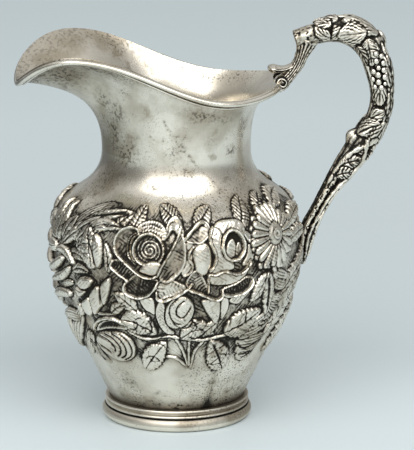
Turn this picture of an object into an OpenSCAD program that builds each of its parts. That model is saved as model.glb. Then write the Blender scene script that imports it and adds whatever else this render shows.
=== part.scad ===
// Silver water ewer with a wide spout, a raised flower band and a vine branch handle.
// Millimetres. +Z is up, the spout points along -X and the handle stands at +X.

/* [Foot] */
// Step of the foot ring out from the collar's edges
foot_step = 1.7; // [1:0.1:4]
// Height of the foot ring
foot_h = 8; // [5:0.5:12]
// Width of the base's seat on the collar, from the bore outwards
foot_seat = 5.3; // [4:0.1:8]
// Step of the collar wire's two edges out from the base
collar_step = 3; // [2:0.1:5]
// Height of the collar wire
collar_h = 4.8; // [3:0.2:8]
// Depth of the hollow between the collar's edges
collar_hollow = 1; // [0.3:0.1:1.6]

/* [Body] */
// Radius of the body where it stands on the collar
base_r = 38.8; // [36:0.2:41]
// Radius of the plain belly at its widest
belly_r = 70.3; // [64:0.5:80]
// Height of the widest ring above the table
belly_z = 104; // [96:1:110]
// Radius where the shoulder turns into the neck
shoulder_r = 58.5; // [54:0.5:62]
// Height where the shoulder turns into the neck
shoulder_z = 134.8; // [131:0.2:140]
// Slope of the sheet at that turn in degrees
shoulder_slope = 34; // [24:1:44]
// Radius of the neck at its waist
neck_r = 42; // [38:0.5:46]
// Height of the neck's waist
neck_z = 160; // [156:1:168]
// Thickness of the sheet
wall = 1.2; // [0.9:0.1:2]

/* [Spout and lip] */
// Reach of the spout's tip in front of the neck's axis
spout_reach = 92; // [80:1:104]
// Reach of the lip's back behind the neck's axis
back_reach = 62; // [56:1:68]
// Half width of the mouth
mouth_half = 49.5; // [46:0.5:55]
// Distance of the mouth's widest line behind the axis
mouth_back = 5; // [0:0.5:10]
// Fullness of the spout's outline, where 2 is an ellipse
spout_fullness = 3; // [2:0.1:4]
// Height of the spout's tip
tip_z = 201; // [194:1:208]
// Height of the two crests beside the spout
crest_z = 221; // [214:1:228]
// Distance of the crests in front of the axis
crest_x = 60; // [50:1:70]
// Height of the lip at its two dips
dip_z = 195; // [190:1:200]
// Distance of the dips behind the axis
dip_x = 32; // [24:1:40]
// Height of the lip at its back
back_z = 200; // [196:1:206]

/* [Rim moulding] */
// Height of the moulding on the outside of the lip
rim_h = 4.8; // [4:0.2:7]
// Radius of the bead at the moulding's top
rim_bead = 1.5; // [1:0.1:2]
// Radius of the lower bead
rim_line = 0.8; // [0.5:0.1:1.2]
// Half of the angle left open at the back for the handle
rim_gap = 12; // [10:0.5:16]

/* [Handle] */
// Rise of the branch's top over the lip's back
handle_rise = 27.5; // [22:0.5:34]
// Reach of the branch behind the lip's back
handle_reach = 57; // [48:1:66]
// Half thickness of the branch at its thickest
branch_thick = 8.2; // [6:0.2:10]
// Half width of the branch at its widest
branch_wide = 7.6; // [6:0.2:9]
// Depth of the branch's lower end below the belly's widest ring
branch_end = 14; // [8:1:22]
// Half width of the root strap
strap_wide = 6.4; // [5:0.2:7.4]
// Half thickness of the root strap
strap_thick = 3.4; // [2.6:0.1:4.2]
// Length of the thumb scroll over the mouth
thumb_len = 13; // [10:0.5:18]
// Outer radius of the rim volutes
volute_r = 3.8; // [3:0.1:4.6]
// Radius of a grape
grape_r = 2.3; // [1.8:0.1:2.8]

/* [Flower band] */
// Height of the flowers over the plain belly
relief = 4; // [2.5:0.1:5]
// Radius of the larger rose
rose_r = 20.5; // [17:0.5:20.5]
// Radius of the daisies
daisy_r = 15.5; // [13:0.5:15.5]
// Petals of a daisy
daisy_petals = 16; // [12:1:20]
// Length of an ordinary petal of the star flower
star_len = 20; // [16:0.5:20]
// Width of the band's leaves against the room that each has
leaf_fill = 1; // [0.7:0.05:1]
// Height of the band's lower edge above the table
band_z = 40; // [36:1:44]
// Height of the band
band_h = 100; // [92:1:104]

/* [Hidden] */
// Room between pieces that lie on each other
seat = 0.15;
// Height of the band's flat undersides over the round belly
lift = 0.55;
// Half width of a leaf at its two ends
leaf_tip = 0.4;
base_z = foot_h + collar_h;
foot_bore = base_r - foot_seat;
collar_r = base_r + collar_step;
foot_r = collar_r + foot_step;
neck_steps = 8;
around = 48;
branch_sides = 12;
branch_steps = 34;

// Point on a cubic curve with four guide points
function bez(p, t) = let (s = 1 - t)
  s * s * s * p[0] + 3 * s * s * t * p[1] + 3 * s * t * t * p[2] + t * t * t * p[3];

// Point on a smooth line through all its keys, with one unit of t from key to key
function through(k, t) =
  let (n = len(k) - 1, i = min(max(floor(t), 0), n - 1), f = t - i,
       a = k[max(i - 1, 0)], b = k[i], c = k[i + 1], d = k[min(i + 2, n)])
  0.5 * (2 * b + (c - a) * f + (2 * a - 5 * b + 4 * c - d) * f * f + (3 * b - a - 3 * c + d) * f * f * f);

function unit(v) = v / norm(v);
function mean(ring) = [for (p = ring) 1] * ring / len(ring);

// Closed skin over equal rings, with fan ends or joined round into a loop
module skin(rings, loop = false) {
  n = len(rings);
  m = len(rings[0]);
  flat = [for (ring = rings) each ring];
  points = loop ? flat : concat(flat, [mean(rings[0]), mean(rings[n - 1])]);
  sides = [for (i = [0:(loop ? n : n - 1) - 1], j = [0:m - 1])
    let (k = (j + 1) % m, u = i * m, v = (i + 1) % n * m)
    each [[u + j, v + j, v + k], [u + j, v + k, u + k]]];
  ends = loop ? [] : [for (j = [0:m - 1])
    let (k = (j + 1) % m, v = (n - 1) * m)
    each [[n * m, j, k], [n * m + 1, v + k, v + j]]];
  polyhedron(points, concat(sides, ends));
}

// Outer line of the body as points of radius and height, from the collar to the neck's waist
slope = [-cos(shoulder_slope), sin(shoulder_slope)];
shoulder = [shoulder_r, shoulder_z];
flare = belly_r - base_r;
lower_h = belly_z - base_z;
upper_h = shoulder_z - belly_z;
neck_h = neck_z - shoulder_z;
lower_line = [[base_r, base_z], [base_r + 0.556 * flare, base_z + 0.384 * lower_h],
              [belly_r, belly_z - 0.329 * lower_h], [belly_r, belly_z]];
upper_line = [[belly_r, belly_z], [belly_r, belly_z + 0.52 * upper_h],
              shoulder - 0.39 * upper_h * slope, shoulder];
neck_line = [shoulder, shoulder + 0.437 * neck_h * slope,
             [neck_r, neck_z - 0.476 * neck_h], [neck_r, neck_z]];
body_line = concat([for (i = [0:8]) bez(lower_line, i / 9)], [for (i = [0:6]) bez(upper_line, i / 7)],
                   [for (i = [0:7]) bez(neck_line, i / 7)]);
body_table = [for (p = body_line) [p.y, p.x]];
function body_r(z) = lookup(z, body_table);
function body_lean(z) = (body_r(z + 1) - body_r(z - 1)) / 2;

// Unit normal of the body's line at point i
function line_normal(i) =
  let (n = len(body_line) - 1, d = body_line[min(i + 1, n)] - body_line[max(i - 1, 0)])
  i == n ? [1, 0] : unit([d.y, -d.x]);

// Point at a height over the belly, with a motif placed by angle, share of the band's height and turn
function on_belly(m, p) =
  let (mid = band_z + m[1] * band_h, rise = 1 / norm([1, body_lean(mid)]),
       u = p.x * cos(m[2]) - p.y * sin(m[2]), v = p.x * sin(m[2]) + p.y * cos(m[2]),
       z = mid + v * rise, a = m[0] + u / body_r(mid) * 180 / PI,
       s = body_lean(z), k = norm([1, s]), r = body_r(z) + p.z / k)
  [r * cos(a), r * sin(a), z - p.z * s / k];

// Lip of the mouth as a line round the neck's axis
function lip_z(x) =
  x < -crest_x ?
    tip_z + (crest_z - tip_z) * sin(90 * pow(max(x + spout_reach, 0) / (spout_reach - crest_x), 0.7)) :
  x < dip_x ? dip_z + (crest_z - dip_z) * (1 + cos(180 * (x + crest_x) / (dip_x + crest_x))) / 2 :
  dip_z + (back_z - dip_z) * pow((x - dip_x) / (back_reach - dip_x), 2);
function lip_r(a) =
  let (front = cos(a) < 0, p = front ? spout_fullness : 2,
       reach = front ? spout_reach + mouth_back : back_reach - mouth_back)
  pow(pow(abs(cos(a)) / reach, p) + pow(abs(sin(a)) / mouth_half, p), -1 / p);
function lip(a) = let (x = mouth_back + lip_r(a) * cos(a)) [x, lip_r(a) * sin(a), lip_z(x)];

// Outside of the neck, from its waist at t = 0 up to the lip at t = 1
function neck_at(a, t) =
  let (out = [cos(a), sin(a), 0], low = [0, 0, neck_z] + neck_r * out, top = lip(a),
       reach = norm([top.x, top.y]) - neck_r, rise = top.z - neck_z,
       drop = rise * (0.34 - 0.24 * reach / (spout_reach - neck_r)))
  bez([low, low + [0, 0, 0.72 * rise], top - 0.62 * reach * out - [0, 0, drop], top], t);
function neck_up(a, t) = unit(neck_at(a, t + 0.01) - neck_at(a, t - 0.01));
function neck_normal(a, t) = unit(cross(neck_at(a + 0.5, t) - neck_at(a - 0.5, t), neck_up(a, t)));
function neck_off(a, t, h) = neck_at(a, t) + h * neck_normal(a, t);

// Centre line of the branch: reach, height, half thickness and half width at each key
back = [back_reach, back_z];
belly = [belly_r, belly_z];
drop = back_z - belly_z;
end_z = belly_z - branch_end;
function branch_key(x, z, thick, wide) = [x, z, thick * branch_thick, wide * branch_wide];
function high_key(x, z, thick, wide) = branch_key(back.x + x * handle_reach, back.y + z, thick, wide);
function low_key(x, z, thick, wide) = branch_key(belly.x + x * handle_reach, belly.y + z * drop, thick, wide);
branch_keys = [
  high_key(0.123, 0.8 * handle_rise, 0.74, 0.8),
  high_key(0.316, 0.92 * handle_rise, 0.8, 0.88),
  high_key(0.526, handle_rise, 0.94, 0.96),
  high_key(0.719, 0.89 * handle_rise, 1, 1),
  high_key(0.868, 0.6 * handle_rise, 0.98, 1),
  high_key(0.965, 0.11 * handle_rise, 0.92, 1),
  high_key(1, -0.125 * drop, 0.8, 0.94),
  high_key(0.947, -0.271 * drop, 0.8, 0.92),
  high_key(0.807, -0.411 * drop, 0.95, 0.96),
  low_key(0.491, 0.443, 0.86, 0.9),
  low_key(0.328, 0.302, 0.62, 0.8),
  low_key(0.204, 0.167, 0.54, 0.74),
  branch_key(belly.x + 0.65 * branch_thick, belly.y + 0.021 * drop, 0.62, 0.7),
  branch_key(body_r(end_z) + 0.4 * branch_thick, end_z, 0.4, 0.5)];
branch_last = len(branch_keys) - 1;

// Length along the branch against its key number, and the key number at a length
run_steps = 4;
function run_step(i) =
  let (d = through(branch_keys, (i + 1) / run_steps) - through(branch_keys, i / run_steps))
  norm([d[0], d[1]]);
branch_run = [for (i = 0, s = 0; i <= run_steps * branch_last; s = s + run_step(i), i = i + 1)
  [s, i / run_steps]];
branch_len = branch_run[len(branch_run) - 1][0];
function key_at(s) = lookup(s, branch_run);

// Keeps a point of the handle outside the belly
function off_belly(p) =
  let (r = body_r(p.z) + 2 * seat, x = sqrt(max(r * r - p.y * p.y, 0)))
  [max(p.x, x), p.y, p.z];

// Point round a line of keys: along it, round it in degrees from its outer side, and over its surface
function round_line(keys, t, phi, h) =
  let (k = through(keys, t), d = through(keys, t + 0.05) - through(keys, t - 0.05),
       n = unit([-d[1], d[0]]), e = (k[2] + h) * cos(phi))
  [k[0] + n.x * e, (k[3] + h) * sin(phi), k[1] + n.y * e];
function on_branch(t, phi, h) = off_belly(round_line(branch_keys, t, phi, h));

// Point of a motif on the branch: place is a share of its length, angle round it and turn
function branch_motif(m, p) =
  let (run = m[0] * branch_len, k = through(branch_keys, key_at(run)),
       u = p.x * cos(m[2]) - p.y * sin(m[2]), v = p.x * sin(m[2]) + p.y * cos(m[2]))
  on_branch(key_at(run + v), m[1] + u / (k[2] + k[3]) * 360 / PI, p.z);

// Root strap from the neck's back up to the underside of the branch
strap_top_z = branch_keys[0][1] - branch_keys[0][2] - strap_thick;
strap_keys = [
  [back.x - 0.4 * strap_wide, back.y - 0.8 * strap_wide, 1.3 * strap_thick, strap_wide],
  [back.x + 0.7 * strap_wide, back.y + 0.23 * strap_wide, strap_thick, strap_wide],
  [back.x + 1.4 * strap_wide, back.y + 1.1 * strap_wide, strap_thick, 0.9 * strap_wide],
  [back.x + 1.8 * strap_wide, strap_top_z, 1.1 * strap_thick, 0.9 * strap_wide]];
strap_sides = 12;
// Seats of the strap on the neck and under the branch, for a share of the seat's size
function strap_seat(phi, share) =
  let (y = share * strap_wide * sin(phi))
  neck_off(asin(y / (back_reach - mouth_back)), 0.84 + 0.1 * share * cos(phi), 2 * seat);
function strap_top(phi, share) = on_branch(0.6 - 0.5 * share * cos(phi), 180 - 52 * share * sin(phi), seat);

// Motifs as rings of points across, along and over the ground they lie on
leaf_stations = [0, 0.24, 0.5, 0.77, 1];
blade_stations = [0, 0.33, 0.7, 1];
leaf_bow = -0.04;
function leaf_half(wide, s) = leaf_tip + wide / 2 * sin(180 * pow(s, 0.75));
// Ring across a leaf at a share of its length, with the midrib's groove between two ridges
function leaf_ring(long, wide, high, from, s) =
  let (w = leaf_half(wide, s), h = lift + high * (0.45 + 0.55 * sin(150 * s)),
       c = leaf_bow * long * sin(180 * s), v = from + long * s)
  [[c - w, v, lift], [c - 0.5 * w, v, h], [c, v, 0.5 * (h + lift)],
   [c + 0.5 * w, v, h], [c + w, v, lift], [c, v, lift]];
function leaf(long, wide, high, from) = [for (s = leaf_stations) leaf_ring(long, wide, high, from, s)];
// A narrow leaf needs no point under its midrib
function blade(long, wide, high, from) = [for (s = blade_stations)
  let (ring = leaf_ring(long, wide, high, from, s)) [for (i = [0:4]) ring[i]]];

// Rings of a rose from its outside in: share of radius, share of height, lobes, lobe turn and lobe depth
rose_rings = [
  [0.25, 0, 5, 0, 0], [0.52, 0, 5, 0, 0], [0.78, 0, 5, 0, 0.08], [1, 0, 5, 0, 0.08], [0.95, 0.8, 5, 0, 0.08],
  [0.74, 0.28, 5, 30, 0.06], [0.62, 0.95, 4, 20, 0.1], [0.46, 0.38, 4, 20, 0.07], [0.34, 1, 3, 60, 0.08],
  [0.13, 0.45, 3, 60, 0]];
rose_sectors = 24;
function rose(r, high) = [for (k = rose_rings)
  [for (j = [0:rose_sectors - 1])
    let (a = 360 * j / rose_sectors, lobe = cos(k[2] * a + k[3]), d = r * k[0] * (1 + k[4] * lobe))
    [d * cos(a), d * sin(a), lift + high * k[1] * (1 + 0.15 * lobe)]]];

// Rings of a daisy: share of radius on a petal's ridge and in the valley, then share of height on each
daisy_rings = [
  [0.35, 0.35, 0, 0], [0.7, 0.7, 0, 0], [1, 0.84, 0, 0], [0.94, 0.8, 0.5, 0.15], [0.42, 0.42, 0.75, 0.4],
  [0.35, 0.35, 0.3, 0.3], [0.24, 0.24, 0.9, 0.9]];
function daisy(r, high) = [for (k = daisy_rings)
  [for (j = [0:2 * daisy_petals - 1])
    let (a = 180 * j / daisy_petals, o = j % 2, d = r * k[o])
    [d * cos(a), d * sin(a), lift + high * k[2 + o]]]];

module belly_motif(place, rings) {
  skin([for (ring = rings) [for (p = ring) on_belly(place, p)]]);
}

// Room that the belly gives the band's motifs, and the sizes of the flowers that fit into it
room = min(belly_r, 0.703 * band_h);
rose_fit = min(rose_r, 0.292 * room);
daisy_fit = min(daisy_r, 0.2206 * room);
star_fit = min(star_len, 0.2846 * room);

// Leaves of one side of the band: angle and share of the band's height at the foot and at the tip,
// width as a share of the room, and share of the relief
broad_leaves = [
  [-135.5, 0.59, -137, 0.77, 0.19, 0.8], [-143.5, 0.15, -117.5, 0.15, 0.25, 0.8],
  [-122.5, 0.335, -104.5, 0.265, 0.2, 0.75], [-113.5, 0.02, -100, 0.205, 0.19, 0.65],
  [-96, 0.29, -91, 0.49, 0.18, 0.85], [-92, 0.215, -76, 0.245, 0.14, 0.65],
  [-66, 0.005, -77, 0.2, 0.2, 0.7], [-70, 0.26, -50, 0.365, 0.2, 0.75]];
blades = [
  [-115.5, 0.925, -112, 0.995, 0.09, 0.5], [-95.5, 0.91, -104.5, 0.985, 0.1, 0.5],
  [-85, 0.91, -75, 0.985, 0.1, 0.5], [-63, 0.88, -53, 0.99, 0.11, 0.5],
  [-45, 0.965, -35, 0.995, 0.06, 0.4], [-149, 0.81, -119, 0.935, 0.085, 0.7],
  [-146.5, 0.745, -125, 0.85, 0.075, 0.65], [-141.5, 0.33, -151, 0.49, 0.085, 0.6],
  [-139.8, 0.36, -142.6, 0.57, 0.075, 0.65], [-135.2, 0.35, -134.6, 0.54, 0.07, 0.65],
  [-131.5, 0.36, -126.5, 0.56, 0.075, 0.6], [-142, 0.25, -124, 0.3, 0.09, 0.7],
  [-150, 0.32, -163, 0.12, 0.11, 0.6], [-156, 0.39, -174, 0.25, 0.11, 0.6],
  [-167, 0.18, -171.5, 0.04, 0.085, 0.5], [-168, 0.42, -178, 0.34, 0.09, 0.6],
  [-148, 0.19, -155, 0.04, 0.085, 0.5], [-174.5, 0.21, -177, 0.06, 0.07, 0.5],
  [-113.5, 0.4, -124, 0.475, 0.115, 0.55], [-102.6, 0.31, -102.6, 0.465, 0.055, 0.6],
  [-82.5, 0.32, -77, 0.48, 0.11, 0.6], [-71, 0.34, -71.5, 0.47, 0.055, 0.5],
  [-68, 0.435, -57.5, 0.495, 0.085, 0.5], [-57, 0.41, -49.5, 0.57, 0.08, 0.6],
  [-44.5, 0.32, -46, 0.59, 0.09, 0.65], [-95, 0.19, -90, 0.03, 0.045, 0.4],
  [-87.6, 0.14, -87.2, 0.03, 0.04, 0.4], [-80.5, 0.15, -85, 0.03, 0.045, 0.4],
  [-86.5, 0.61, -86.5, 0.8, 0.12, 0.8], [-90, 0.825, -80.5, 0.89, 0.09, 0.75],
  [-91, 0.5, -81, 0.58, 0.1, 0.6], [-36, 0.6, -11, 0.53, 0.12, 0.65],
  [-36, 0.51, -8.5, 0.41, 0.12, 0.65], [-37, 0.42, -12, 0.29, 0.11, 0.6],
  [-36.5, 0.33, -17.5, 0.18, 0.1, 0.55], [-34, 0.235, -21, 0.08, 0.085, 0.5],
  [-39, 0.19, -29, 0.03, 0.085, 0.45], [-25.5, 0.865, -9, 0.87, 0.11, 0.55],
  [-24.5, 0.78, -8, 0.75, 0.11, 0.6], [-26, 0.685, -8, 0.645, 0.11, 0.6],
  [-32, 0.955, -15, 0.98, 0.085, 0.45], [-9.5, 0.3, -4.5, 0.1, 0.1, 0.45],
  [-16, 0.15, -11, 0.02, 0.075, 0.4], [-52, 0.25, -42, 0.31, 0.06, 0.55],
  [-61, 0.19, -43, 0.23, 0.075, 0.55], [-61, 0.14, -43, 0.155, 0.075, 0.5],
  [-59, 0.08, -44, 0.095, 0.07, 0.45]];

// Run of a leaf from foot to tip in millimetres round the belly and up it, and its place on the belly
function leaf_run(k) =
  let (z = band_z + (k[1] + k[3]) / 2 * band_h)
  [(k[2] - k[0]) * PI / 180 * body_r(z), (k[3] - k[1]) * band_h * norm([1, body_lean(z)])];
function leaf_place(k) =
  let (run = leaf_run(k))
  [(k[0] + k[2]) / 2, (k[1] + k[3]) / 2, atan2(-run.x, run.y)];

// Star flower with long pointed petals: turn of each, and its length in ordinary petals
star_petals = [
  [-30, 1.1], [6, 1.2], [42, 1.05], [76, 0.8], [115, 0.7], [150, 1], [186, 1.1], [226, 0.7], [268, 0.5]];
star_at = [-160.5, 0.685];
star_eye = 0.28 * star_fit;
star_wide = 0.31 * star_fit;

// Middles of the roses and of the daisy: angle and share of the band's height, then the size of a rose
rose_at = [[-108.5, 0.7, 1], [-67.5, 0.7, 0.78]];
daisy_at = [-39.5, 0.785];

module band_side() {
  for (k = rose_at)
    belly_motif([k.x, k.y, k.x / 2], rose(k.z * rose_fit, relief));
  belly_motif([daisy_at.x, daisy_at.y, 0], daisy(daisy_fit, 0.9 * relief));
  for (k = broad_leaves)
    let (long = norm(leaf_run(k)))
      belly_motif(leaf_place(k), leaf(long, leaf_fill * k[4] * room, k[5] * relief, -long / 2));
  for (k = blades)
    let (long = norm(leaf_run(k)))
      belly_motif(leaf_place(k), blade(long, leaf_fill * k[4] * room, k[5] * relief, -long / 2));
  for (k = star_petals)
    belly_motif([star_at.x, star_at.y, k[0]], blade(k[1] * star_fit, star_wide, 0.8 * relief, star_eye));
}

module foot_ring() {
  color("silver")
    rotate_extrude($fn = 128)
      union() {
        translate([foot_r - foot_h / 2, foot_h / 2])
          circle(d = foot_h, $fn = 48);
        translate([foot_bore, 0])
          square([foot_r - foot_h / 2 - foot_bore, foot_h]);
      }
}

module foot_collar() {
  color("silver")
    translate([0, 0, foot_h])
      rotate_extrude($fn = 128)
        difference() {
          translate([foot_bore, 0])
            square([collar_r - foot_bore, collar_h]);
          translate([collar_r, collar_h / 2])
            scale([collar_hollow / collar_h * 2.6, 1])
              circle(d = 0.62 * collar_h, $fn = 32);
        }
}

module body() {
  floor_z = base_z + wall;
  inside = [for (i = [0:len(body_line) - 1])
    let (p = body_line[i] - wall * line_normal(i)) if (p.y > floor_z) p];
  count = len(inside);
  color("silver")
    rotate_extrude($fn = 96)
      polygon(concat([[0, base_z]], body_line, [for (i = [count - 1:-1:0]) inside[i]],
                     [[body_r(floor_z) - 1.2 * wall, floor_z], [0, floor_z]]));
}

module flower_band() {
  color("silver")
    for (side = [0, 1])
      mirror([0, side, 0])
        band_side();
}

module neck_and_spout() {
  turn = [for (j = [0:around - 1]) 360 * j / around];
  rise = [for (i = [0:neck_steps]) i / neck_steps];
  outside = [for (t = rise) [for (a = turn) neck_at(a, t)]];
  inside = [for (i = [neck_steps:-1:0]) [for (a = turn) neck_off(a, rise[i], -wall)]];
  color("silver")
    skin(concat(outside, inside), loop = true);
}

module rim_moulding() {
  section = concat(
    [for (q = [110, 55, 0, -55]) [seat + 0.8 * rim_bead, -0.4 * rim_bead] + rim_bead * [cos(q), sin(q)]],
    [for (q = [40, -45]) [seat + 0.7 * rim_line, rim_line - rim_h] + rim_line * [cos(q), sin(q)]],
    [[seat, -rim_h], [seat, 0.5 * rim_bead]]);
  color("silver")
    skin([for (i = [0:around])
      let (a = rim_gap + (360 - 2 * rim_gap) * i / around, n = neck_normal(a, 1), up = neck_up(a, 1))
      [for (p = section) neck_at(a, 1) + p.x * n + p.y * up]]);
}

module branch() {
  color("silver")
    skin([for (i = [0:branch_steps]) let (t = branch_last * i / branch_steps)
      [for (j = [0:branch_sides - 1]) on_branch(t, -360 * j / branch_sides, 0)]]);
}

module root_strap() {
  phis = [for (j = [0:strap_sides - 1]) -360 * j / strap_sides];
  color("silver")
    skin(concat([for (share = [0.45, 1]) [for (phi = phis) strap_seat(phi, share)]],
                [for (t = [0.7:0.38:2.6]) [for (phi = phis) round_line(strap_keys, t, phi, 0)]],
                [for (share = [1, 0.6, 0.2]) [for (phi = phis) strap_top(phi, share)]]));
}

module thumb_scroll() {
  sides = 10;
  thick = 0.35 * strap_thick;
  x = back.x + 0.78 * strap_wide;
  z = back.y + 0.69 * strap_wide;
  keys = [[x - 0.12 * thumb_len, z + 1.5 * thick, thick, 0.75 * strap_wide],
          [x - 0.32 * thumb_len, z + 0.25 * thick, thick, 0.8 * strap_wide],
          [x - 0.62 * thumb_len, z, 1.4 * thick, 0.9 * strap_wide],
          [x - 0.85 * thumb_len, z + 0.33 * thick, 2.1 * thick, 0.95 * strap_wide],
          [x - thumb_len, z + 0.67 * thick, 1.2 * thick, 0.8 * strap_wide]];
  phis = [for (j = [0:sides - 1]) -360 * j / sides];
  seat_rings = [for (share = [0.3, 1])
    [for (phi = phis) round_line(strap_keys, 1.85 + 0.2 * share * cos(phi), -48 * share * sin(phi), seat)]];
  tongue = [for (t = [0:0.4:4]) [for (phi = phis) round_line(keys, t, 180 + phi, 0)]];
  color("silver")
    skin(concat(seat_rings, tongue));
}

module rim_volutes() {
  turns = 1.4;
  steps = 14;
  sides = 5;
  wire = 0.16 * volute_r;
  y = strap_wide + 0.6 * volute_r;
  a = asin(y / (back_reach - mouth_back));
  centre = neck_off(a, 0.88, volute_r + seat);
  color("silver")
    for (side = [0, 1])
      mirror([0, side, 0])
        skin([for (i = [0:steps])
          let (q = 360 * turns * i / steps, r = (volute_r - wire) * (1 - 0.72 * i / steps))
          [for (j = [0:sides - 1]) let (e = 360 * j / sides, d = r + wire * cos(e))
            centre + [d * cos(q), 3 * wire * sin(e), d * sin(q)]]]);
}

// Leaves on the branch: share of its length, angle round it, turn, and length and width as shares of it
vine = [[0.0615, 272, 180, 0.07, 0.064], [0.158, 262, 0, 0.08, 0.075],
        [0.538, 272, 180, 0.086, 0.07], [0.682, 280, 0, 0.075, 0.059]];
vine_high = 0.22 * branch_thick;
function branch_leaf(long, wide, high) = [for (s = leaf_stations)
  let (w = leaf_half(wide, s), h = high * (0.5 + 0.5 * sin(150 * s)) + seat, v = long * (s - 0.5))
  [[w, v, seat], [0.5 * w, v, h], [0, v, 0.6 * h], [-0.5 * w, v, h],
   [-w, v, seat], [-0.5 * w, v, seat], [0, v, seat], [0.5 * w, v, seat]]];

module vine_leaves() {
  color("silver")
    for (side = [0, 1], k = vine)
      mirror([0, side, 0])
        skin([for (ring = branch_leaf(k[3] * branch_len, k[4] * branch_len, vine_high))
          [for (p = ring) branch_motif([k[0], k[1], k[2]], p)]]);
}

// Grapes of a bunch: place along the branch and across it, in grape radii
bunch_rows = [2, 3, 3, 3, 3, 2];
bunch = [for (row = [0:len(bunch_rows) - 1], i = [0:bunch_rows[row] - 1])
  [1.75 * row, 2.05 * (i - (bunch_rows[row] - 1) / 2) + 0.3 * (row % 2)]];
// Start of the bunch: share of the branch's length, and angle round it
bunch_at = [0.259, 272];
// Rings of a grape: radius and height in grape radii
grape_rings = [[0.95, 0], [0.95, 0.7], [0.45, 1.45]];

module grapes() {
  sides = 6;
  color("silver")
    for (side = [0, 1], k = bunch)
      mirror([0, side, 0])
        skin([for (e = grape_rings)
          [for (j = [0:sides - 1]) let (q = -360 * j / sides)
            branch_motif([bunch_at.x, bunch_at.y, 0],
                         grape_r * [k.y + e[0] * cos(q), k.x + e[0] * sin(q), e[1]] + [0, 0, seat])]]);
}

module tendrils() {
  steps = 18;
  // Start and length along the branch as shares of it, middle angle and swing, half width and height
  from = 0.752;
  long = 0.21;
  middle = 275;
  swing = 40;
  half = 0.145 * branch_wide;
  high = 0.18 * branch_thick;
  color("silver")
    for (side = [0, 1])
      mirror([0, side, 0])
        skin([for (i = [0:steps])
          let (place = [from + long * i / steps, middle + swing * sin(360 * i / steps), 0])
          [for (e = [[1, 0], [0.73, 0.67], [0, 1], [-0.73, 0.67], [-1, 0]])
            branch_motif(place, [half * e[0], 0, high * e[1] + seat])]]);
}

foot_ring();
foot_collar();
body();
flower_band();
neck_and_spout();
rim_moulding();
branch();
root_strap();
thumb_scroll();
rim_volutes();
vine_leaves();
grapes();
tendrils();
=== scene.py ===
import math

import bpy
import numpy as np
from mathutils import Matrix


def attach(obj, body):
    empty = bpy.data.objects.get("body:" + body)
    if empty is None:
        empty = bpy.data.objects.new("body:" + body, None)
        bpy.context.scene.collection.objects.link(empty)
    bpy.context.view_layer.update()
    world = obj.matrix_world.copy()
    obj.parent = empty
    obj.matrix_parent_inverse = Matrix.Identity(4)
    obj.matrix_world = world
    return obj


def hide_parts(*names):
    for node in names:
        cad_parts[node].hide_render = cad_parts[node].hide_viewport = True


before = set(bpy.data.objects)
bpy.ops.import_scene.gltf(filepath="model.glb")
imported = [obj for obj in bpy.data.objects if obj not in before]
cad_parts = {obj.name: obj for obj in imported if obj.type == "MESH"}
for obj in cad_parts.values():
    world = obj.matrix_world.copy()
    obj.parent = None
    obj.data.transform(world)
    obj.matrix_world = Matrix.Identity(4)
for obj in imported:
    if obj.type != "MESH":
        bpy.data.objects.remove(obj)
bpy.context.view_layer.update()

# Foot ring
# A heavy half-round ring of drawn silver that the ewer stands on, soldered under the collar.
# Painted shade darkens its top in the corner under the collar, and its lower half is lighter.
MM = 0.001
FOOT_R, FOOT_H, FOOT_BORE, FOOT_EDGE = 43.5, 8.0, 33.5, 0.6
RING_SEGMENTS = 160
BRIGHT, TARNISH, OXIDE = (0.85, 0.795, 0.69), (0.43, 0.375, 0.29), (0.030, 0.027, 0.022)
SCRATCHED = (0.9, 0.89, 0.85)


class Wire:
    """A socket of a node tree that takes Python arithmetic, with one method for every other node."""

    def __init__(self, tree, socket=None):
        self.tree, self.socket = tree, socket

    def node(self, kind, settings=None, inputs=None, out=0):
        made = self.tree.nodes.new(kind)
        for key, value in (settings or {}).items():
            if key == "stops":
                ramp = made.color_ramp.elements
                while len(ramp) < len(value):
                    ramp.new(0.5)
                for stop, (place, colour) in zip(ramp, value):
                    stop.position, stop.color = place, rgba(colour)
            else:
                setattr(made, key, value)
        for key, value in (inputs or {}).items():
            if isinstance(value, Wire):
                value.into(made, key)
            else:
                made.inputs[key].default_value = value
        return Wire(self.tree, made.outputs[out])

    def into(self, node, key):
        self.tree.links.new(self.socket, node.inputs[key])

    def sums(self, operation, first, second=0.0, clamp=False):
        return self.node("ShaderNodeMath", {"operation": operation, "use_clamp": clamp}, {0: first, 1: second})

    def __add__(self, other):
        return self.sums("ADD", self, other)

    def __sub__(self, other):
        return self.sums("SUBTRACT", self, other)

    def __rsub__(self, other):
        return self.sums("SUBTRACT", other, self)

    def __mul__(self, other):
        return self.sums("MULTIPLY", self, other)

    __radd__, __rmul__ = __add__, __mul__

    def clip(self):
        return self.sums("ADD", self, 0.0, True)

    def over(self, low, high):
        """0 below low and 1 above high, with a soft rise between them."""
        return self.node("ShaderNodeMapRange", {"interpolation_type": "SMOOTHSTEP"},
                         {"Value": self, "From Min": low, "From Max": high})

    def blend(self, first, second):
        """A colour from first to second as this value goes from 0 to 1."""
        return self.node("ShaderNodeMix", {"data_type": "RGBA"}, {0: self, 6: first, 7: second}, 2)

    def parts(self):
        """The x, y and z of a vector."""
        split = self.node("ShaderNodeSeparateXYZ", {}, {0: self})
        return [Wire(self.tree, socket) for socket in split.socket.node.outputs]


def rgba(colour):
    return (*colour, 1.0)


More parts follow.
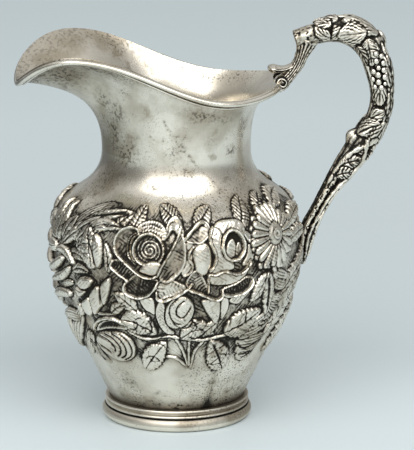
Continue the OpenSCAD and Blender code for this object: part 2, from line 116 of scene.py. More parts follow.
def silver(name, rough=0.24, tarnish=0.5, specks=0.4, dents=0.25):
    """Old silver: oxide and painted shade from the hollow attribute, tarnish clouds, dark specks, fine scratches and
    faint dents.
    """
    material = bpy.data.materials.new(name)
    material.use_nodes = True
    shader = material.node_tree.nodes["Principled BSDF"]
    start = Wire(material.node_tree)
    place = start.node("ShaderNodeTexCoord", out=3)
    hollow = start.node("ShaderNodeAttribute", {"attribute_name": "hollow"}, out=2)
    pitted = start.node("ShaderNodeAttribute", {"attribute_name": "pitted"}, out=2)

    def noise(scale, detail=3.0, stretch=None, turn=(0.0, 0.0, 0.0)):
        where = place
        if stretch:
            where = start.node("ShaderNodeMapping", {}, {"Vector": place, "Rotation": turn, "Scale": stretch})
        return start.node("ShaderNodeTexNoise", {}, {"Vector": where, "Scale": scale, "Detail": detail})

    cloud = noise(38.0, 6.0).over(0.42, 0.68)
    patch = noise(24.0, 4.0).over(0.47, 0.62)
    pits = noise(520.0, 4.0).over(0.50, 0.60) * pitted
    speck = noise(900.0, 2.0).over(0.54, 0.66) * patch * specks + pits * 0.75
    stain = noise(110.0, 4.0).over(0.58, 0.68) * noise(21.0, 2.0).over(0.46, 0.60) * specks
    scratch = (noise(60.0, 1.0, (30.0, 1.0, 3.0), (0.3, 0.5, 0.2)).over(0.64, 0.70)
               + noise(60.0, 1.0, (2.0, 1.0, 28.0), (0.5, -0.3, 0.1)).over(0.64, 0.70))
    # The hollow attribute darkens the colour towards oxide, both for real oxide and for painted shade
    dark = (hollow.over(0.46, 0.86) + speck).clip()
    worn = 1.0 - hollow.over(0.12, 0.42)
    haze = hollow.over(0.34, 0.52) * 0.4
    dull = (cloud * tarnish * (1.0 - worn * 0.6) + haze + stain * 0.8 + pitted * 0.4).clip()
    colour = dull.blend(rgba(BRIGHT), rgba(TARNISH))
    colour = (scratch * 0.12).clip().blend(colour, rgba(SCRATCHED))
    colour = dark.blend(colour, rgba(OXIDE))
    colour.into(shader, "Base Color")
    (rough + cloud * 0.10 + haze * 0.15 + dark * 0.30 - worn * 0.06).into(shader, "Roughness")
    relief = noise(45.0, 2.0) * dents + noise(900.0, 3.0) * 0.015 - scratch * 0.02 - pits * 0.2
    start.node("ShaderNodeBump", {}, {"Strength": 0.5, "Distance": 0.0006, "Height": relief}).into(shader, "Normal")
    shader.inputs["Metallic"].default_value = 1.0
    return material


def marked(made, name, values):
    """Writes a number to each point of a piece, for its material or its node tree to read."""
    numbers = np.asarray(values, np.float32).ravel()
    made.data.attributes.new(name, "FLOAT", "POINT").data.foreach_set("value", numbers)


def piece(name, points, faces, material, hollow=None, sharp=None):
    """A mesh object from points in millimetres, with the share of grime, oxide and painted shade in each as its
    hollow attribute.
    """
    mesh = bpy.data.meshes.new(name)
    mesh.from_pydata((np.asarray(points, float) * MM).tolist(), [], [list(map(int, f)) for f in faces])
    mesh.polygons.foreach_set("use_smooth", [True] * len(mesh.polygons))
    if sharp:
        mesh.set_sharp_from_angle(angle=math.radians(sharp))
    mesh.materials.append(material)
    made = bpy.data.objects.new(name, mesh)
    bpy.context.scene.collection.objects.link(made)
    if hollow is not None:
        marked(made, "hollow", hollow)
    return made


def finished(made, slot, *nodes):
    """The piece rides on the ewer's one body and stands for its CAD nodes, which are hidden. Its slot is not used."""
    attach(made, "root")
    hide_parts(*nodes)


def grown(made, tree, values):
    """Runs a Geometry Nodes tree on an object and keeps the result as the object's plain mesh."""
    modifier = made.modifiers.new(tree.name, "NODES")
    modifier.node_group = tree
    for item in tree.interface.items_tree:
        if item.item_type == "SOCKET" and item.in_out == "INPUT" and item.name in values:
            modifier[item.identifier] = values[item.name]
    result = bpy.data.meshes.new_from_object(made.evaluated_get(bpy.context.evaluated_depsgraph_get()))
    made.modifiers.clear()
    made.data = result


def node_tree(name, inputs):
    """An empty Geometry Nodes tree with a geometry in and out and named inputs, and a Wire for each input."""
    tree = bpy.data.node_groups.new(name, "GeometryNodeTree")
    tree.interface.new_socket("Geometry", in_out="INPUT", socket_type="NodeSocketGeometry")
    tree.interface.new_socket("Geometry", in_out="OUTPUT", socket_type="NodeSocketGeometry")
    for key, kind in inputs.items():
        tree.interface.new_socket(key, in_out="INPUT", socket_type=kind)
    source = tree.nodes.new("NodeGroupInput")
    return tree, {socket.name: Wire(tree, socket) for socket in source.outputs if socket.name}


def tree_end(tree, geometry, material):
    """Closes a tree with Realize Instances, smooth shading and Set Material."""
    whole = geometry.node("GeometryNodeRealizeInstances", {}, {0: geometry})
    whole = whole.node("GeometryNodeSetShadeSmooth", {}, {0: whole})
    whole = whole.node("GeometryNodeSetMaterial", {}, {0: whole, "Material": material})
    whole.into(tree.nodes.new("NodeGroupOutput"), 0)


def turned_ring(name, section, material, hollow):
    """A ring turned from a closed section of radius and height, from its foot outwards and up, with its grime and
    painted shade.
    """
    middle = float(np.mean([r for r, z in section]))
    made = piece(name, [(r - middle, -z, 0.0) for r, z in section], [], material, hollow)
    count = len(section)
    made.data.edges.add(count)
    made.data.edges.foreach_set("vertices", [k % count for i in range(count) for k in (i, i + 1)])
    tree, given = node_tree(name + "_turning", {"Radius": "NodeSocketFloat", "Segments": "NodeSocketInt"})
    path = given["Radius"].node("GeometryNodeCurvePrimitiveCircle", {"mode": "RADIUS"},
                                {"Radius": given["Radius"], "Resolution": given["Segments"]})
    profile = path.node("GeometryNodeMeshToCurve", {}, {0: given["Geometry"]})
    ring = path.node("GeometryNodeCurveToMesh", {}, {"Curve": path, "Profile Curve": profile})
    ring = ring.node("GeometryNodeFlipFaces", {}, {0: ring})
    tree_end(tree, ring, material)
    grown(made, tree, {"Radius": middle * MM, "Segments": RING_SEGMENTS})
    return made


def arc(x, z, r, start, end, count):
    """Points of an arc, angles in degrees."""
    return [(x + r * math.cos(math.radians(q)), z + r * math.sin(math.radians(q)))
            for q in np.linspace(start, end, count)]


foot_silver = silver("foot_silver", rough=0.34, tarnish=0.9, specks=0.5, dents=0.5)
foot_section = ([(FOOT_BORE + FOOT_EDGE, 0.0)] + arc(FOOT_R - FOOT_H / 2, FOOT_H / 2, FOOT_H / 2, -90, 90, 22)
                + [(FOOT_BORE + FOOT_EDGE, FOOT_H), (FOOT_BORE, FOOT_H - FOOT_EDGE), (FOOT_BORE, FOOT_EDGE)])
# Tarnish, with painted shade on the top in the corner under the collar and a lighter lower half
foot_tarnish_and_shade = [0.54 + 0.4 * (z > FOOT_H - 1.0) - 0.30 * (z < 3.6) + 0.1 * (z < 1.0) for r, z in foot_section]
foot_ring = turned_ring("foot_wire", foot_section, foot_silver, foot_tarnish_and_shade)
finished(foot_ring, "silver_plain", "foot_ring")

# Foot collar
# A drawn moulding between the foot ring and the body, with two bright edges and a dark hollow between.
# It is one strip of silver bent round and soldered to the foot ring below and the body above.
COLLAR_R, COLLAR_H, COLLAR_HOLLOW, COLLAR_BEAD = 41.8, 4.8, 1.3, 0.7
HOLLOW_LOW, HOLLOW_TALL, HOLLOW_STEPS = 1.3, 2.1, 8
collar_silver = silver("collar_silver", rough=0.30, tarnish=0.9, specks=0.5)
bead_r = COLLAR_R - 0.6
collar_section = ([(FOOT_BORE, FOOT_H)]
                  + arc(bead_r, FOOT_H + 0.75, COLLAR_BEAD, -80, 70, 8)
                  + [(bead_r - COLLAR_HOLLOW * math.sin(math.pi * k / HOLLOW_STEPS),
                      FOOT_H + HOLLOW_LOW + HOLLOW_TALL * k / HOLLOW_STEPS) for k in range(1, HOLLOW_STEPS)]
                  + arc(bead_r, FOOT_H + COLLAR_H - 0.75, COLLAR_BEAD, -70, 80, 8)
                  + [(FOOT_BORE, FOOT_H + COLLAR_H)])
# Painted shade darkens the collar's foot in the groove over the foot ring; its top ledge and the middle of its hollow
# are darker too, and its two edges lighter
collar_tarnish_and_shade = [0.9 if z < FOOT_H + 0.1 else 0.55 if z > FOOT_H + COLLAR_H - 0.1 or r < COLLAR_R - 0.9 else 0.34
               for r, z in collar_section]
foot_collar = turned_ring("collar_strip", collar_section, collar_silver, collar_tarnish_and_shade)
finished(foot_collar, "silver_plain", "foot_collar")

# Body with its flower band
# One sheet of silver raised into a belly, its band of roses, daisy, buds and leaves pushed out from inside
# and chased from outside. Hollows are oxidised black and darkened with painted shade, and the raised edges burnished
# bright.
BASE_R, BASE_Z, BELLY_R, BELLY_Z, WAIST_R, WAIST_Z, WALL = 38.8, 12.8, 70.3, 104.0, 43.0, 160.0, 1.2
SHOULDER, SLOPE = np.array([58.5, 134.8]), np.array([-math.cos(math.radians(34)), math.sin(math.radians(34))])
SHEET_LOW, SHEET_TOP, SHEET_R, SHEET_STEP = 36.0, 147.0, 70.0, 0.28
RELIEF_LOW, RELIEF_FINE, RELIEF_TOP = 36.0, 37.5, 146.0
CUT_HALF, CUT_DEPTH, CUT_FLOOR, EDGE_ROOM, ROLL_ROOM, HATCH_PITCH = 0.5, 0.55, -0.2, 2.0, 1.6, 1.8
SIDE_FROM, SIDE_TO, LEFT_SWELL, RIGHT_SWELL = 58.0, 80.0, 1.3, 1.0
GROUND_LOW, GROUND_TOP, GROUND_FADE = 60.0, 126.0, 9.0
ROW_STEP, FINE_STEP, SHOULDER_STEP, INNER_STEP, BOTTOM = 1.6, 0.41, 0.7, 9.0, 2.5
STAIN, STAIN_TURN, STAIN_WIDE = 0.17, -143.0, 17.0
COLUMNS = 280


def cubic(guides, t):
    """Points of a cubic curve with four guide points."""
    a, b, c, d = (np.asarray(g, float) for g in guides)
    t = np.asarray(t, float)[..., None]
    s = 1.0 - t
    return s ** 3 * a + 3 * s * s * t * b + 3 * s * t * t * c + t ** 3 * d


share = np.linspace(0.0, 1.0, 200)
body_line = np.vstack([
    cubic([(BASE_R, BASE_Z), (56.3, 47.8), (BELLY_R, 74.0), (BELLY_R, BELLY_Z)], share),
    cubic([(BELLY_R, BELLY_Z), (BELLY_R, 120.0), SHOULDER - 12.0 * SLOPE, SHOULDER], share)[1:],
    cubic([SHOULDER, SHOULDER + 11.0 * SLOPE, (WAIST_R, 148.0), (WAIST_R, WAIST_Z)], share)[1:]])


def spline(a, b, c, d, f):
    """A point a share f of the way from b to c on a smooth line that comes from a and goes on to d."""
    return 0.5 * (2 * b + (c - a) * f + (2 * a - 5 * b + 4 * c - d) * f ** 2 + (3 * b - a - 3 * c + d) * f ** 3)


def capped(value):
    """A value kept between 0 and 1."""
    return np.clip(value, 0.0, 1.0)


def climb(value, low, high):
    """0 below low and 1 above high, with a straight climb between them."""
    return capped((value - low) / (high - low))


def bell(away, width):
    """1 where a distance is nothing, falling off softly to both sides over a width."""
    return np.exp(-(away / width) ** 2)


def arched(across):
    """Height of a round back at a share of the way from its middle, 0, to its edge, 1."""
    return np.sqrt(capped(1 - across ** 2))


class Chasing:
    """A sheet unrolled from one side of a round piece, on which shapes are laid in relief.

    A place on it is a turn in degrees and a height in millimetres, and the far side mirrors it.
    """

    def __init__(self, low, high, radius, step):
        self.radius, self.step = radius, step
        self.a = np.linspace(-180.0, 0.0, int(math.pi * radius / step) + 1)
        self.z = np.linspace(low, high, int((high - low) / step) + 1)
        self.x, self.y = np.meshgrid(np.radians(self.a) * radius, self.z)
        self.relief = np.zeros_like(self.x)
        self.ink = np.zeros_like(self.x)
        self.layer = np.zeros(self.x.shape, int)
        self.laying = 0

    def flowing(self, points, closed=False, steps=6):
        """A smooth line in millimetres through places on the sheet."""
        p = np.array(points, float)
        p[:, 0] = np.radians(p[:, 0]) * self.radius
        if closed:
            keys = np.vstack([p[-1:], p, p[:2]])
        else:
            keys = np.vstack([2 * p[:1] - p[1:2], p, 2 * p[-1:] - p[-2:-1]])
        f = (np.arange(steps) / steps)[:, None]
        return np.vstack([spline(*keys[i:i + 4], f) for i in range(len(keys) - 3)] + [keys[-2:-1]])

    def window(self, line, margin):
        """The part of the sheet round a line, with the millimetres there."""
        (x0, y0), (x1, y1) = line.min(0) - margin, line.max(0) + margin
        c0, c1 = np.searchsorted(self.x[0], (x0, x1))
        r0, r1 = np.searchsorted(self.z, (y0, y1))
        cut = np.s_[r0:r1, c0:c1]
        return cut, self.x[cut], self.y[cut]

    def measured(self, line, x, y):
        """Distance to a line, share along it, signed distance beside it and the line's length."""
        step = np.diff(line, axis=0)
        length = np.linalg.norm(step, axis=1) + 1e-9
        run = np.concatenate([[0.0], np.cumsum(length)])
        near = np.full(x.shape, 1e18)
        along, side = np.zeros(x.shape), np.ones(x.shape)
        for (ax, ay), (sx, sy), size, before in zip(line[:-1], step, length, run[:-1]):
            t = capped(((x - ax) * sx + (y - ay) * sy) / size ** 2)
            ex, ey = x - ax - t * sx, y - ay - t * sy
            d = ex * ex + ey * ey
            closer = d < near
            near = np.where(closer, d, near)
            along = np.where(closer, before + t * size, along)
            side = np.where(closer, np.sign(sx * ey - sy * ex), side)
        near = np.sqrt(near)
        return near, along / run[-1], side * near, run[-1]

    def within(self, line, x, y):
        """Which points of the sheet a closed line goes round."""
        odd = np.zeros(x.shape, bool)
        for (ax, ay), (bx, by) in zip(line[:-1], line[1:]):
            if ay != by:
                odd ^= ((ay > y) != (by > y)) & (x < (bx - ax) * (y - ay) / (by - ay) + ax)
        return odd

    def traced(self, points, margin, closed=False):
        """The part of the sheet round a line through places, with what is measured from the line there."""
        line = self.flowing(points, closed)
        cut, x, y = self.window(line, margin)
        return (cut, *self.measured(line, x, y))

    def lay(self, cut, inside, height, near, ink=0.0):
        """Lays a raised shape over what is there, and cuts a line round it that fills with dark oxide."""
        old = self.relief[cut]
        line = bell(near, CUT_HALF)
        self.relief[cut] = np.where(inside, height, np.maximum(old - CUT_DEPTH * line, np.minimum(old, CUT_FLOOR)))
        self.ink[cut] = np.where(inside, ink, np.maximum(self.ink[cut], line))
        self.layer[cut] = np.where(inside, self.laying, self.layer[cut])

    def petal(self, points, rim, cup, roll=1.6, dome=0.0, hatch=0.0, dark=0.0):
        """A petal with a rolled rim round a lower middle that can be darkened with oxide and painted shade, or a
        domed one.
        """
        line = self.flowing(points, True)
        cut, x, y = self.window(line, EDGE_ROOM)
        near, along, side, size = self.measured(line, x, y)
        inside = self.within(line, x, y)
        t = capped(near / roll)
        deepest = max(near[inside].max(), 0.1)
        height = cup + (rim - cup) * (1 - t) ** 2 * (1 + 2 * t) + dome * (1 - (1 - near / deepest) ** 2)
        # The darker middle is oxide and painted shade
        ink = dark * climb(near, 0.6, 1.8)
        if hatch:
            wave = np.sin(along * size * 2 * math.pi / HATCH_PITCH) * capped(near / 0.8)
            height, ink = height + hatch * wave, ink + 1.6 * hatch * capped(-wave)
        self.lay(cut, inside, height * (0.6 + 0.4 * np.sqrt(capped(near / 0.5))), near, ink)

    def leaf(self, points, width, high, teeth=8, veins=4, tooth=0.18, rib=1.0, hatch=0.55, wave=1.7):
        """A leaf on its midrib, with a toothed edge, a cut midrib and puffed fields between side veins."""
        cut, near, along, side, size = self.traced(points, width / 2 + EDGE_ROOM)
        half = width / 2 * np.sin(math.pi * capped(along) ** 0.8) ** 0.8
        half = half * (1.0 - tooth * ((along * teeth) % 1.0)) + 0.15
        across = near / half
        spread = size / max(veins, 3)
        flow = along * size - 0.7 * spread * across ** 1.2 if veins else 0.45 * along * size - width / 2 * across
        fine = np.sin(flow * 2 * math.pi / wave) * capped(across * 2.5 - 0.2)
        height = high * (0.62 + 0.38 * arched(across)) - 0.8 * rib * bell(near, 0.36) + 0.29 * hatch * fine
        ink = rib * bell(near, 0.4)
        if veins:
            field = (flow / spread) % 1.0
            cutline = bell(np.minimum(field, 1 - field) * spread, 0.28) * (across < 0.9)
            height = height - 0.45 * cutline + 0.12 * np.sin(math.pi * field)
            ink = np.maximum(ink, 0.8 * cutline)
        ink = ink + hatch * capped(-fine)
        self.lay(cut, across < 1.0, height, np.maximum(near - half, 0.0), ink)

    def blade(self, points, width, high, stripes=4):
        """A long smooth leaf or striped petal, with cut lines along it."""
        cut, near, along, side, size = self.traced(points, width / 2 + EDGE_ROOM)
        half = width / 2 * np.sin(math.pi * capped(along) ** 0.7) ** 0.6 + 0.15
        across = side / half
        field = (across + 1.0) / 2.0 * stripes
        cutline = np.abs(field - np.round(field)) * 2 * half / stripes
        cutline = bell(cutline, 0.34) * (np.abs(across) < 0.92)
        height = high * (0.66 + 0.34 * arched(across)) - 0.6 * cutline
        self.lay(cut, np.abs(across) < 1.0, height, np.maximum(near - half, 0.0), 0.8 * cutline)

    def roll(self, points, half, level, closed=False):
        """A rolled bright edge like a wire laid on the relief, sinking in at its ends."""
        cut, near, along, side, size = self.traced(points, half + ROLL_ROOM, closed)
        fade = 1.0 if closed else capped(np.minimum(along, 1 - along) * size / 2.5) ** 0.5
        half = half * (1.0 + 0.22 * np.sin(along * size * 1.1 + points[0][0]))
        top = level * fade + self.relief[cut] * (1 - fade)
        height = top - half + np.sqrt(np.maximum(half ** 2 - near ** 2, 0.0))
        self.lay(cut, near < half, np.maximum(height, self.relief[cut]), np.maximum(near - half, 0.0))

    def groove(self, points, half, depth):
        """A line cut with a tracer."""
        cut, near, along, side, size = self.traced(points, 3 * half)
        line = capped(np.minimum(along, 1 - along) * size / 1.5) * bell(near, half)
        self.relief[cut] -= depth * line
        self.ink[cut] = np.maximum(self.ink[cut], min(depth, 1.0) * line)

    def round_place(self, a, z, reach):
        """The part of the sheet round a place, with the millimetres across and up from it."""
        cut, x, y = self.window(self.flowing([(a - 0.01, z), (a + 0.01, z)]), reach)
        return cut, x - math.radians(a) * self.radius, y - z

    def boss(self, a, z, radius, high):
        """A round swelling on what is there."""
        cut, dx, dy = self.round_place(a, z, radius)
        self.relief[cut] += high * np.maximum(1 - (np.hypot(dx, dy) / radius) ** 2, 0.0) ** 1.5

    def daisy(self, a, z, eye, reach, count, high):
        """A daisy: two rows of round-ended petals with a crease in each, round a stippled eye with a ring in it."""
        cut, dx, dy = self.round_place(a, z, reach + 3.0)
        far, turn = np.hypot(dx, dy) + 1e-6, np.arctan2(dy, dx)
        for offset, tip, lift in ((0.5, reach, 0.7), (0.0, reach * 0.92, 1.0)):
            number = np.floor(turn / (2 * math.pi) * count + offset)
            field = (turn / (2 * math.pi) * count + offset) % 1.0 - 0.5
            across = field * 2 * math.pi * far / count
            half = math.pi * np.minimum(far, tip * 0.8) / count * 0.90
            end = tip * (1.0 + 0.07 * np.sin(number * 2.4) - 0.12 * np.sin(turn))
            edge = np.abs(across) / half
            rounded = arched(np.maximum(far - (end - 1.1 * half), 0.0) / (1.1 * half))
            crease = bell(across, 0.4) * (far > eye + 2.0) * (far < end - 2.0)
            height = high * lift * (0.55 + 0.45 * arched(edge)) - 0.4 * crease
            height = height - 0.8 * lift * capped((far - tip * 0.62) / (tip * 0.38)) ** 2
            outside = np.maximum(np.maximum(np.abs(across) - half, far - end), 0.0)
            ink = 0.45 * crease + 0.5 * capped(1 - (far - eye) / 3.0)
            self.lay(cut, (edge < rounded) & (far < end), height, outside, ink)
        stipple = np.sin(dx * 4.4 + 0.7 * dy) * np.sin(dy * 4.4 - 0.7 * dx)
        dome = high * (1.15 - 0.4 * (far / eye) ** 2) + 0.2 * stipple
        dome = dome + 0.5 * bell(far - 2.1, 0.5) - 0.7 * bell(far, 1.1)
        dots = 0.55 * capped(-stipple) * (far > 3.0) + 0.7 * bell(far - 3.1, 0.5) + 0.7 * bell(far, 0.8)
        self.lay(cut, far < eye, dome, np.maximum(far - eye, 0.0), dots)

    def softened(self, field, sigma):
        """A field of the sheet blurred over a distance in millimetres, mirrored at its ends."""
        reach = int(3 * sigma / self.step) + 1
        weight = np.exp(-0.5 * (np.arange(-reach, reach + 1) * self.step / sigma) ** 2)
        weight /= weight.sum()
        for axis in (0, 1):
            pads = [(reach, reach) if k == axis else (0, 0) for k in (0, 1)]
            wide = np.pad(field, pads, mode="reflect")
            count = field.shape[axis]
            field = sum(w * np.take(wide, range(i, i + count), axis=axis) for i, w in enumerate(weight))
        return field

    def uneven(self, draws, sigma):
        """Random unevenness of about the given size in millimetres, with a spread of one."""
        field = self.softened(draws.standard_normal(self.x.shape), sigma)
        return field / field.std()

    def at(self, field, a, z):
        """A field of the sheet at turns and heights, mirrored to the far side."""
        c = np.clip((-np.abs(a) + 180.0) / (self.a[1] - self.a[0]), 0, len(self.a) - 1.001)
        r = np.clip((z - self.z[0]) / (self.z[1] - self.z[0]), 0, len(self.z) - 1.001)
        c0, r0 = c.astype(int), r.astype(int)
        fc, fr = c - c0, r - r0
        return ((field[r0, c0] * (1 - fc) + field[r0, c0 + 1] * fc) * (1 - fr)
                + (field[r0 + 1, c0] * (1 - fc) + field[r0 + 1, c0 + 1] * fc) * fr)


band = Chasing(SHEET_LOW, SHEET_TOP, SHEET_R, SHEET_STEP)

# Stems and low leaves come first, the flowers over them and the rolled edges last.
for stem in ([(-96, 64), (-91.5, 55), (-87.6, 43)], [(-88, 62), (-87.8, 52), (-87, 43)],
             [(-79, 62), (-84.5, 54), (-86.2, 43)], [(-101, 50.5), (-95, 49.5), (-88.5, 43.5)],
             [(-121, 66), (-111, 61.5), (-100, 64), (-92, 62.5)], [(-92, 62.5), (-82, 61), (-74, 62), (-66, 63.5)],
             [(-150, 78), (-136, 74), (-124, 76)], [(-60, 64), (-52, 68), (-47, 73)]):
    band.roll(stem, 0.9, 1.5)
for points, width, high in (
        ([(-158, 112), (-152, 122), (-146, 129), (-138, 134), (-128, 136.5)], 6, 1.3),
        ([(-152.5, 89), (-160, 86.5), (-166, 83.5)], 4, 2.2),
        ([(-166, 107), (-173, 106), (-180, 104)], 8, 2.2),
        ([(-150, 72), (-157, 63), (-164, 51)], 9, 2.2), ([(-152, 68), (-162, 68), (-173, 65)], 7, 2.2),
        ([(-161, 62), (-167, 53), (-171, 45)], 8, 1.8), ([(-168, 82), (-174, 76), (-180, 72)], 8, 2.2),
        ([(-147, 60), (-152, 52), (-156, 44)], 7, 1.8), ([(-174, 62), (-177, 54), (-179, 45)], 7, 1.8),
        ([(-54, 66), (-45, 70), (-35, 76)], 7, 2.4), ([(-61, 61), (-50, 62.5), (-39, 67.5)], 7, 2.4),
        ([(-61, 57.5), (-50, 56.5), (-38, 58)], 7, 2.2), ([(-60, 52), (-49, 51), (-40, 55)], 6, 1.8),
        ([(-58, 47.5), (-50, 46), (-43, 49)], 5, 1.4),
        ([(-44, 97), (-38, 93.5), (-30, 91)], 7, 2.8), ([(-43, 91), (-37, 87.5), (-29, 86)], 6, 2.6),
        ([(-44, 83), (-37, 80), (-29, 84)], 6, 2.4), ([(-44, 77), (-38, 74), (-31, 76)], 6, 2.2),
        ([(-146, 53), (-145, 47), (-139, 41.5)], 3.5, 1.5), ([(-150, 55), (-149, 48), (-145, 42)], 4, 1.4)):
    band.blade(points, width, high)
for points, width, high in (
        ([(-40, 58), (-28, 74), (-12, 95)], 17, 2.0), ([(-32, 45), (-20, 57), (-6, 75)], 14, 1.7),
        ([(-36, 82), (-24, 92), (-8, 103)], 11, 2.2), ([(-34, 132), (-24, 136), (-12, 137)], 9, 1.5),
        ([(-30, 112), (-18, 114), (-4, 112)], 11, 2.0), ([(-30, 121), (-18, 125), (-4, 126)], 10, 1.9)):
    band.leaf(points, width, high, teeth=9, veins=8, tooth=0.34)
for points, width, high in (
        ([(-172, 113), (-169, 123), (-167, 134)], 10, 1.6), ([(-165, 111), (-162, 122), (-160, 134)], 9, 1.8),
        ([(-159, 112), (-156, 120), (-151, 128)], 8, 1.9), ([(-166, 112), (-173, 117), (-180, 124)], 9, 1.7),
        ([(-154, 106), (-147, 107), (-141, 104)], 7, 1.5), ([(-152, 96), (-146, 99), (-139, 98)], 6, 1.4)):
    band.leaf(points, width, high, teeth=5, veins=3, tooth=0.12)
for points, width, high in (([(-158, 102.5), (-165, 97), (-177, 91)], 5.5, 2.8),
                            ([(-153, 98), (-160, 91.5), (-175, 85.5)], 5.0, 2.8),
                            ([(-155, 81.5), (-164, 80.5), (-176, 76.5)], 6.0, 2.6)):
    band.blade(points, width, high, stripes=1)
for points, width, high, teeth, veins in (
        ([(-116, 124), (-114.5, 131), (-112, 138.5)], 11, 1.3, 9, 9),
        ([(-92, 126), (-97, 132.5), (-104.5, 138)], 10, 1.3, 9, 10),
        ([(-86, 126), (-81, 132), (-74.8, 137.2)], 10, 1.3, 9, 10),
        ([(-63, 125), (-58, 133), (-52.3, 140.5)], 11, 1.3, 9, 10),
        ([(-46, 129), (-41, 135.5), (-35, 139.5)], 9, 1.3, 8, 8),
        ([(-126, 124), (-122, 130), (-117, 134)], 7, 1.4, 7, 6),
        ([(-159, 109), (-150, 118), (-140, 126), (-130, 131.3), (-118.8, 134)], 8, 2.8, 9, 0),
        ([(-148, 114), (-140, 122), (-131, 126.5), (-120.5, 125.5)], 7.5, 2.6, 8, 3),
        ([(-148, 110), (-145, 113), (-142, 113)], 6, 1.6, 5, 3),
        ([(-127.3, 100.5), (-127.3, 109), (-129.3, 117.5)], 6, 2.6, 6, 4),
        ([(-136, 101), (-138, 112), (-140, 125)], 16, 3.0, 7, 4),
        ([(-114, 79.5), (-119, 84.5), (-125, 89)], 10, 2.0, 7, 4),
        ([(-128, 76), (-124, 80), (-119.5, 82)], 7, 1.8, 6, 3),
        ([(-122.5, 73.5), (-114, 72), (-104.5, 66)], 16, 3.0, 8, 3),
        ([(-113.5, 42), (-107, 51.5), (-100, 60.5)], 15, 2.6, 8, 3),
        ([(-66, 40.5), (-71.5, 51), (-77, 61)], 17, 2.8, 9, 4),
        ([(-70, 65.5), (-60, 70), (-50, 76.5)], 17, 3.0, 9, 3),
        ([(-92.5, 63.5), (-85, 68.5), (-75, 66)], 13, 2.6, 7, 3),
        ([(-48.5, 97.5), (-52, 90), (-57, 82)], 9, 2.6, 8, 5),
        ([(-47.5, 98), (-46, 86), (-45.3, 71)], 9, 2.8, 8, 0), ([(-74, 73), (-78, 69), (-83, 64)], 7, 2.2, 6, 3)):
    band.leaf(points, width, high, teeth, veins)

# Bulging half of the lit leaf, the striped tulip, the big bud and the curled leaves under the roses
band.petal([(-135.5, 121), (-132.3, 119.3), (-130.3, 113), (-130.7, 105.5), (-133, 102), (-134.6, 106), (-136, 113)],
           2.6, 2.6, dome=1.2)
for points in ([(-147.5, 90), (-145, 94), (-140, 95.7), (-136.8, 94.3), (-138, 91), (-141, 88), (-145, 87)],
               [(-149.7, 87.3), (-148, 82), (-145, 83), (-142, 86.7), (-146, 86.3)],
               [(-140, 84), (-137, 89), (-134.5, 91.2), (-132.4, 89), (-132, 81), (-135, 77), (-138.6, 72.8),
                (-139.7, 78)],
               [(-132.2, 91), (-130, 95), (-127, 97.5), (-126.3, 94), (-128, 87), (-130.5, 81), (-132, 82)],
               [(-147, 78.3), (-146, 73.4), (-142.6, 71.3), (-140.2, 73.6), (-139.9, 80), (-141.3, 83),
                (-144.6, 80.6)],
               [(-151, 76.5), (-149.6, 69.8), (-147.4, 72), (-148, 77.4)]):
    band.petal(points, 2.3, 2.5, dome=0.6)
band.petal([(-141.8, 62), (-139, 66.3), (-134, 70), (-128, 71.8), (-122.6, 70.6), (-120.6, 66.5), (-126, 66.2),
            (-133, 65), (-138, 63)], 1.5, 0.4, dark=0.45)
band.roll([(-142.5, 62), (-140.2, 66.8), (-135.5, 70.6), (-129.5, 72.7), (-124, 71.7), (-120.8, 69.6)], 0.95, 3.0)
band.petal([(-143.3, 57), (-138.3, 62), (-131, 63.6), (-124.5, 64), (-119.3, 60.6), (-117.5, 55), (-119.4, 49.4),
            (-125, 45.6), (-132, 45.2), (-138.6, 48.3), (-142.4, 52)], 1.8, 2.2, dome=1.4)
for points in ([(-126.5, 63.8), (-121.2, 60), (-119.5, 54.5), (-121.3, 49.5), (-126, 46.6)],
               [(-131.5, 63.3), (-125.6, 60.6), (-122.8, 55.6), (-123.8, 50.6), (-128, 47.7)],
               [(-136.5, 62.2), (-129.8, 60.4), (-126, 56), (-126.8, 51.5), (-130, 48.4)],
               [(-140.8, 60.3), (-134, 59.2), (-129.6, 55.7), (-129.9, 51.3)]):
    band.groove(points, 0.55, 1.1)
band.groove([(-142.3, 54.3), (-137.6, 53), (-133, 50.4)], 0.9, 1.9)
band.petal([(-103, 71), (-104.7, 79), (-102.4, 86.4), (-100.2, 83), (-100.6, 76), (-98.6, 70), (-95.6, 66),
            (-99.6, 66)], 2.2, 1.2, hatch=0.15)
band.petal([(-100, 75), (-99.5, 82), (-96.5, 87), (-92, 89.6), (-88, 87), (-86.2, 81.5), (-87.5, 75.5), (-91, 71),
            (-95, 69.4), (-98.5, 71)], 2.2, 2.0, dome=1.1, hatch=0.13)
band.groove([(-93.6, 88.6), (-97.4, 84), (-97.8, 78), (-95.4, 73.4), (-91.6, 72.4)], 0.45, 1.1)
band.groove([(-90.4, 87.4), (-94, 83.6), (-94.6, 79), (-91.8, 76.6), (-89, 80.4), (-87.6, 84)], 0.45, 1.2)
band.groove([(-91.4, 76.8), (-90.2, 73.6)], 0.4, 0.8)
band.petal([(-82.8, 86.3), (-79, 87), (-74.6, 86.3), (-73.4, 78), (-74.6, 71.6), (-78, 75), (-81.3, 81)], 2.0, 2.1,
           hatch=0.12)
band.petal([(-72.6, 86.3), (-69.8, 86.3), (-69.3, 80), (-72, 73.6), (-73, 79)], 1.8, 1.5)
band.petal([(-112, 86.5), (-108.6, 88), (-105.5, 87), (-105, 78), (-107.4, 79), (-110, 81)], 1.8, 1.5)
band.petal([(-69, 84.5), (-64.5, 82), (-60, 86), (-57, 90.5), (-60.5, 91), (-65, 88.5)], 1.6, 1.0, hatch=0.2)

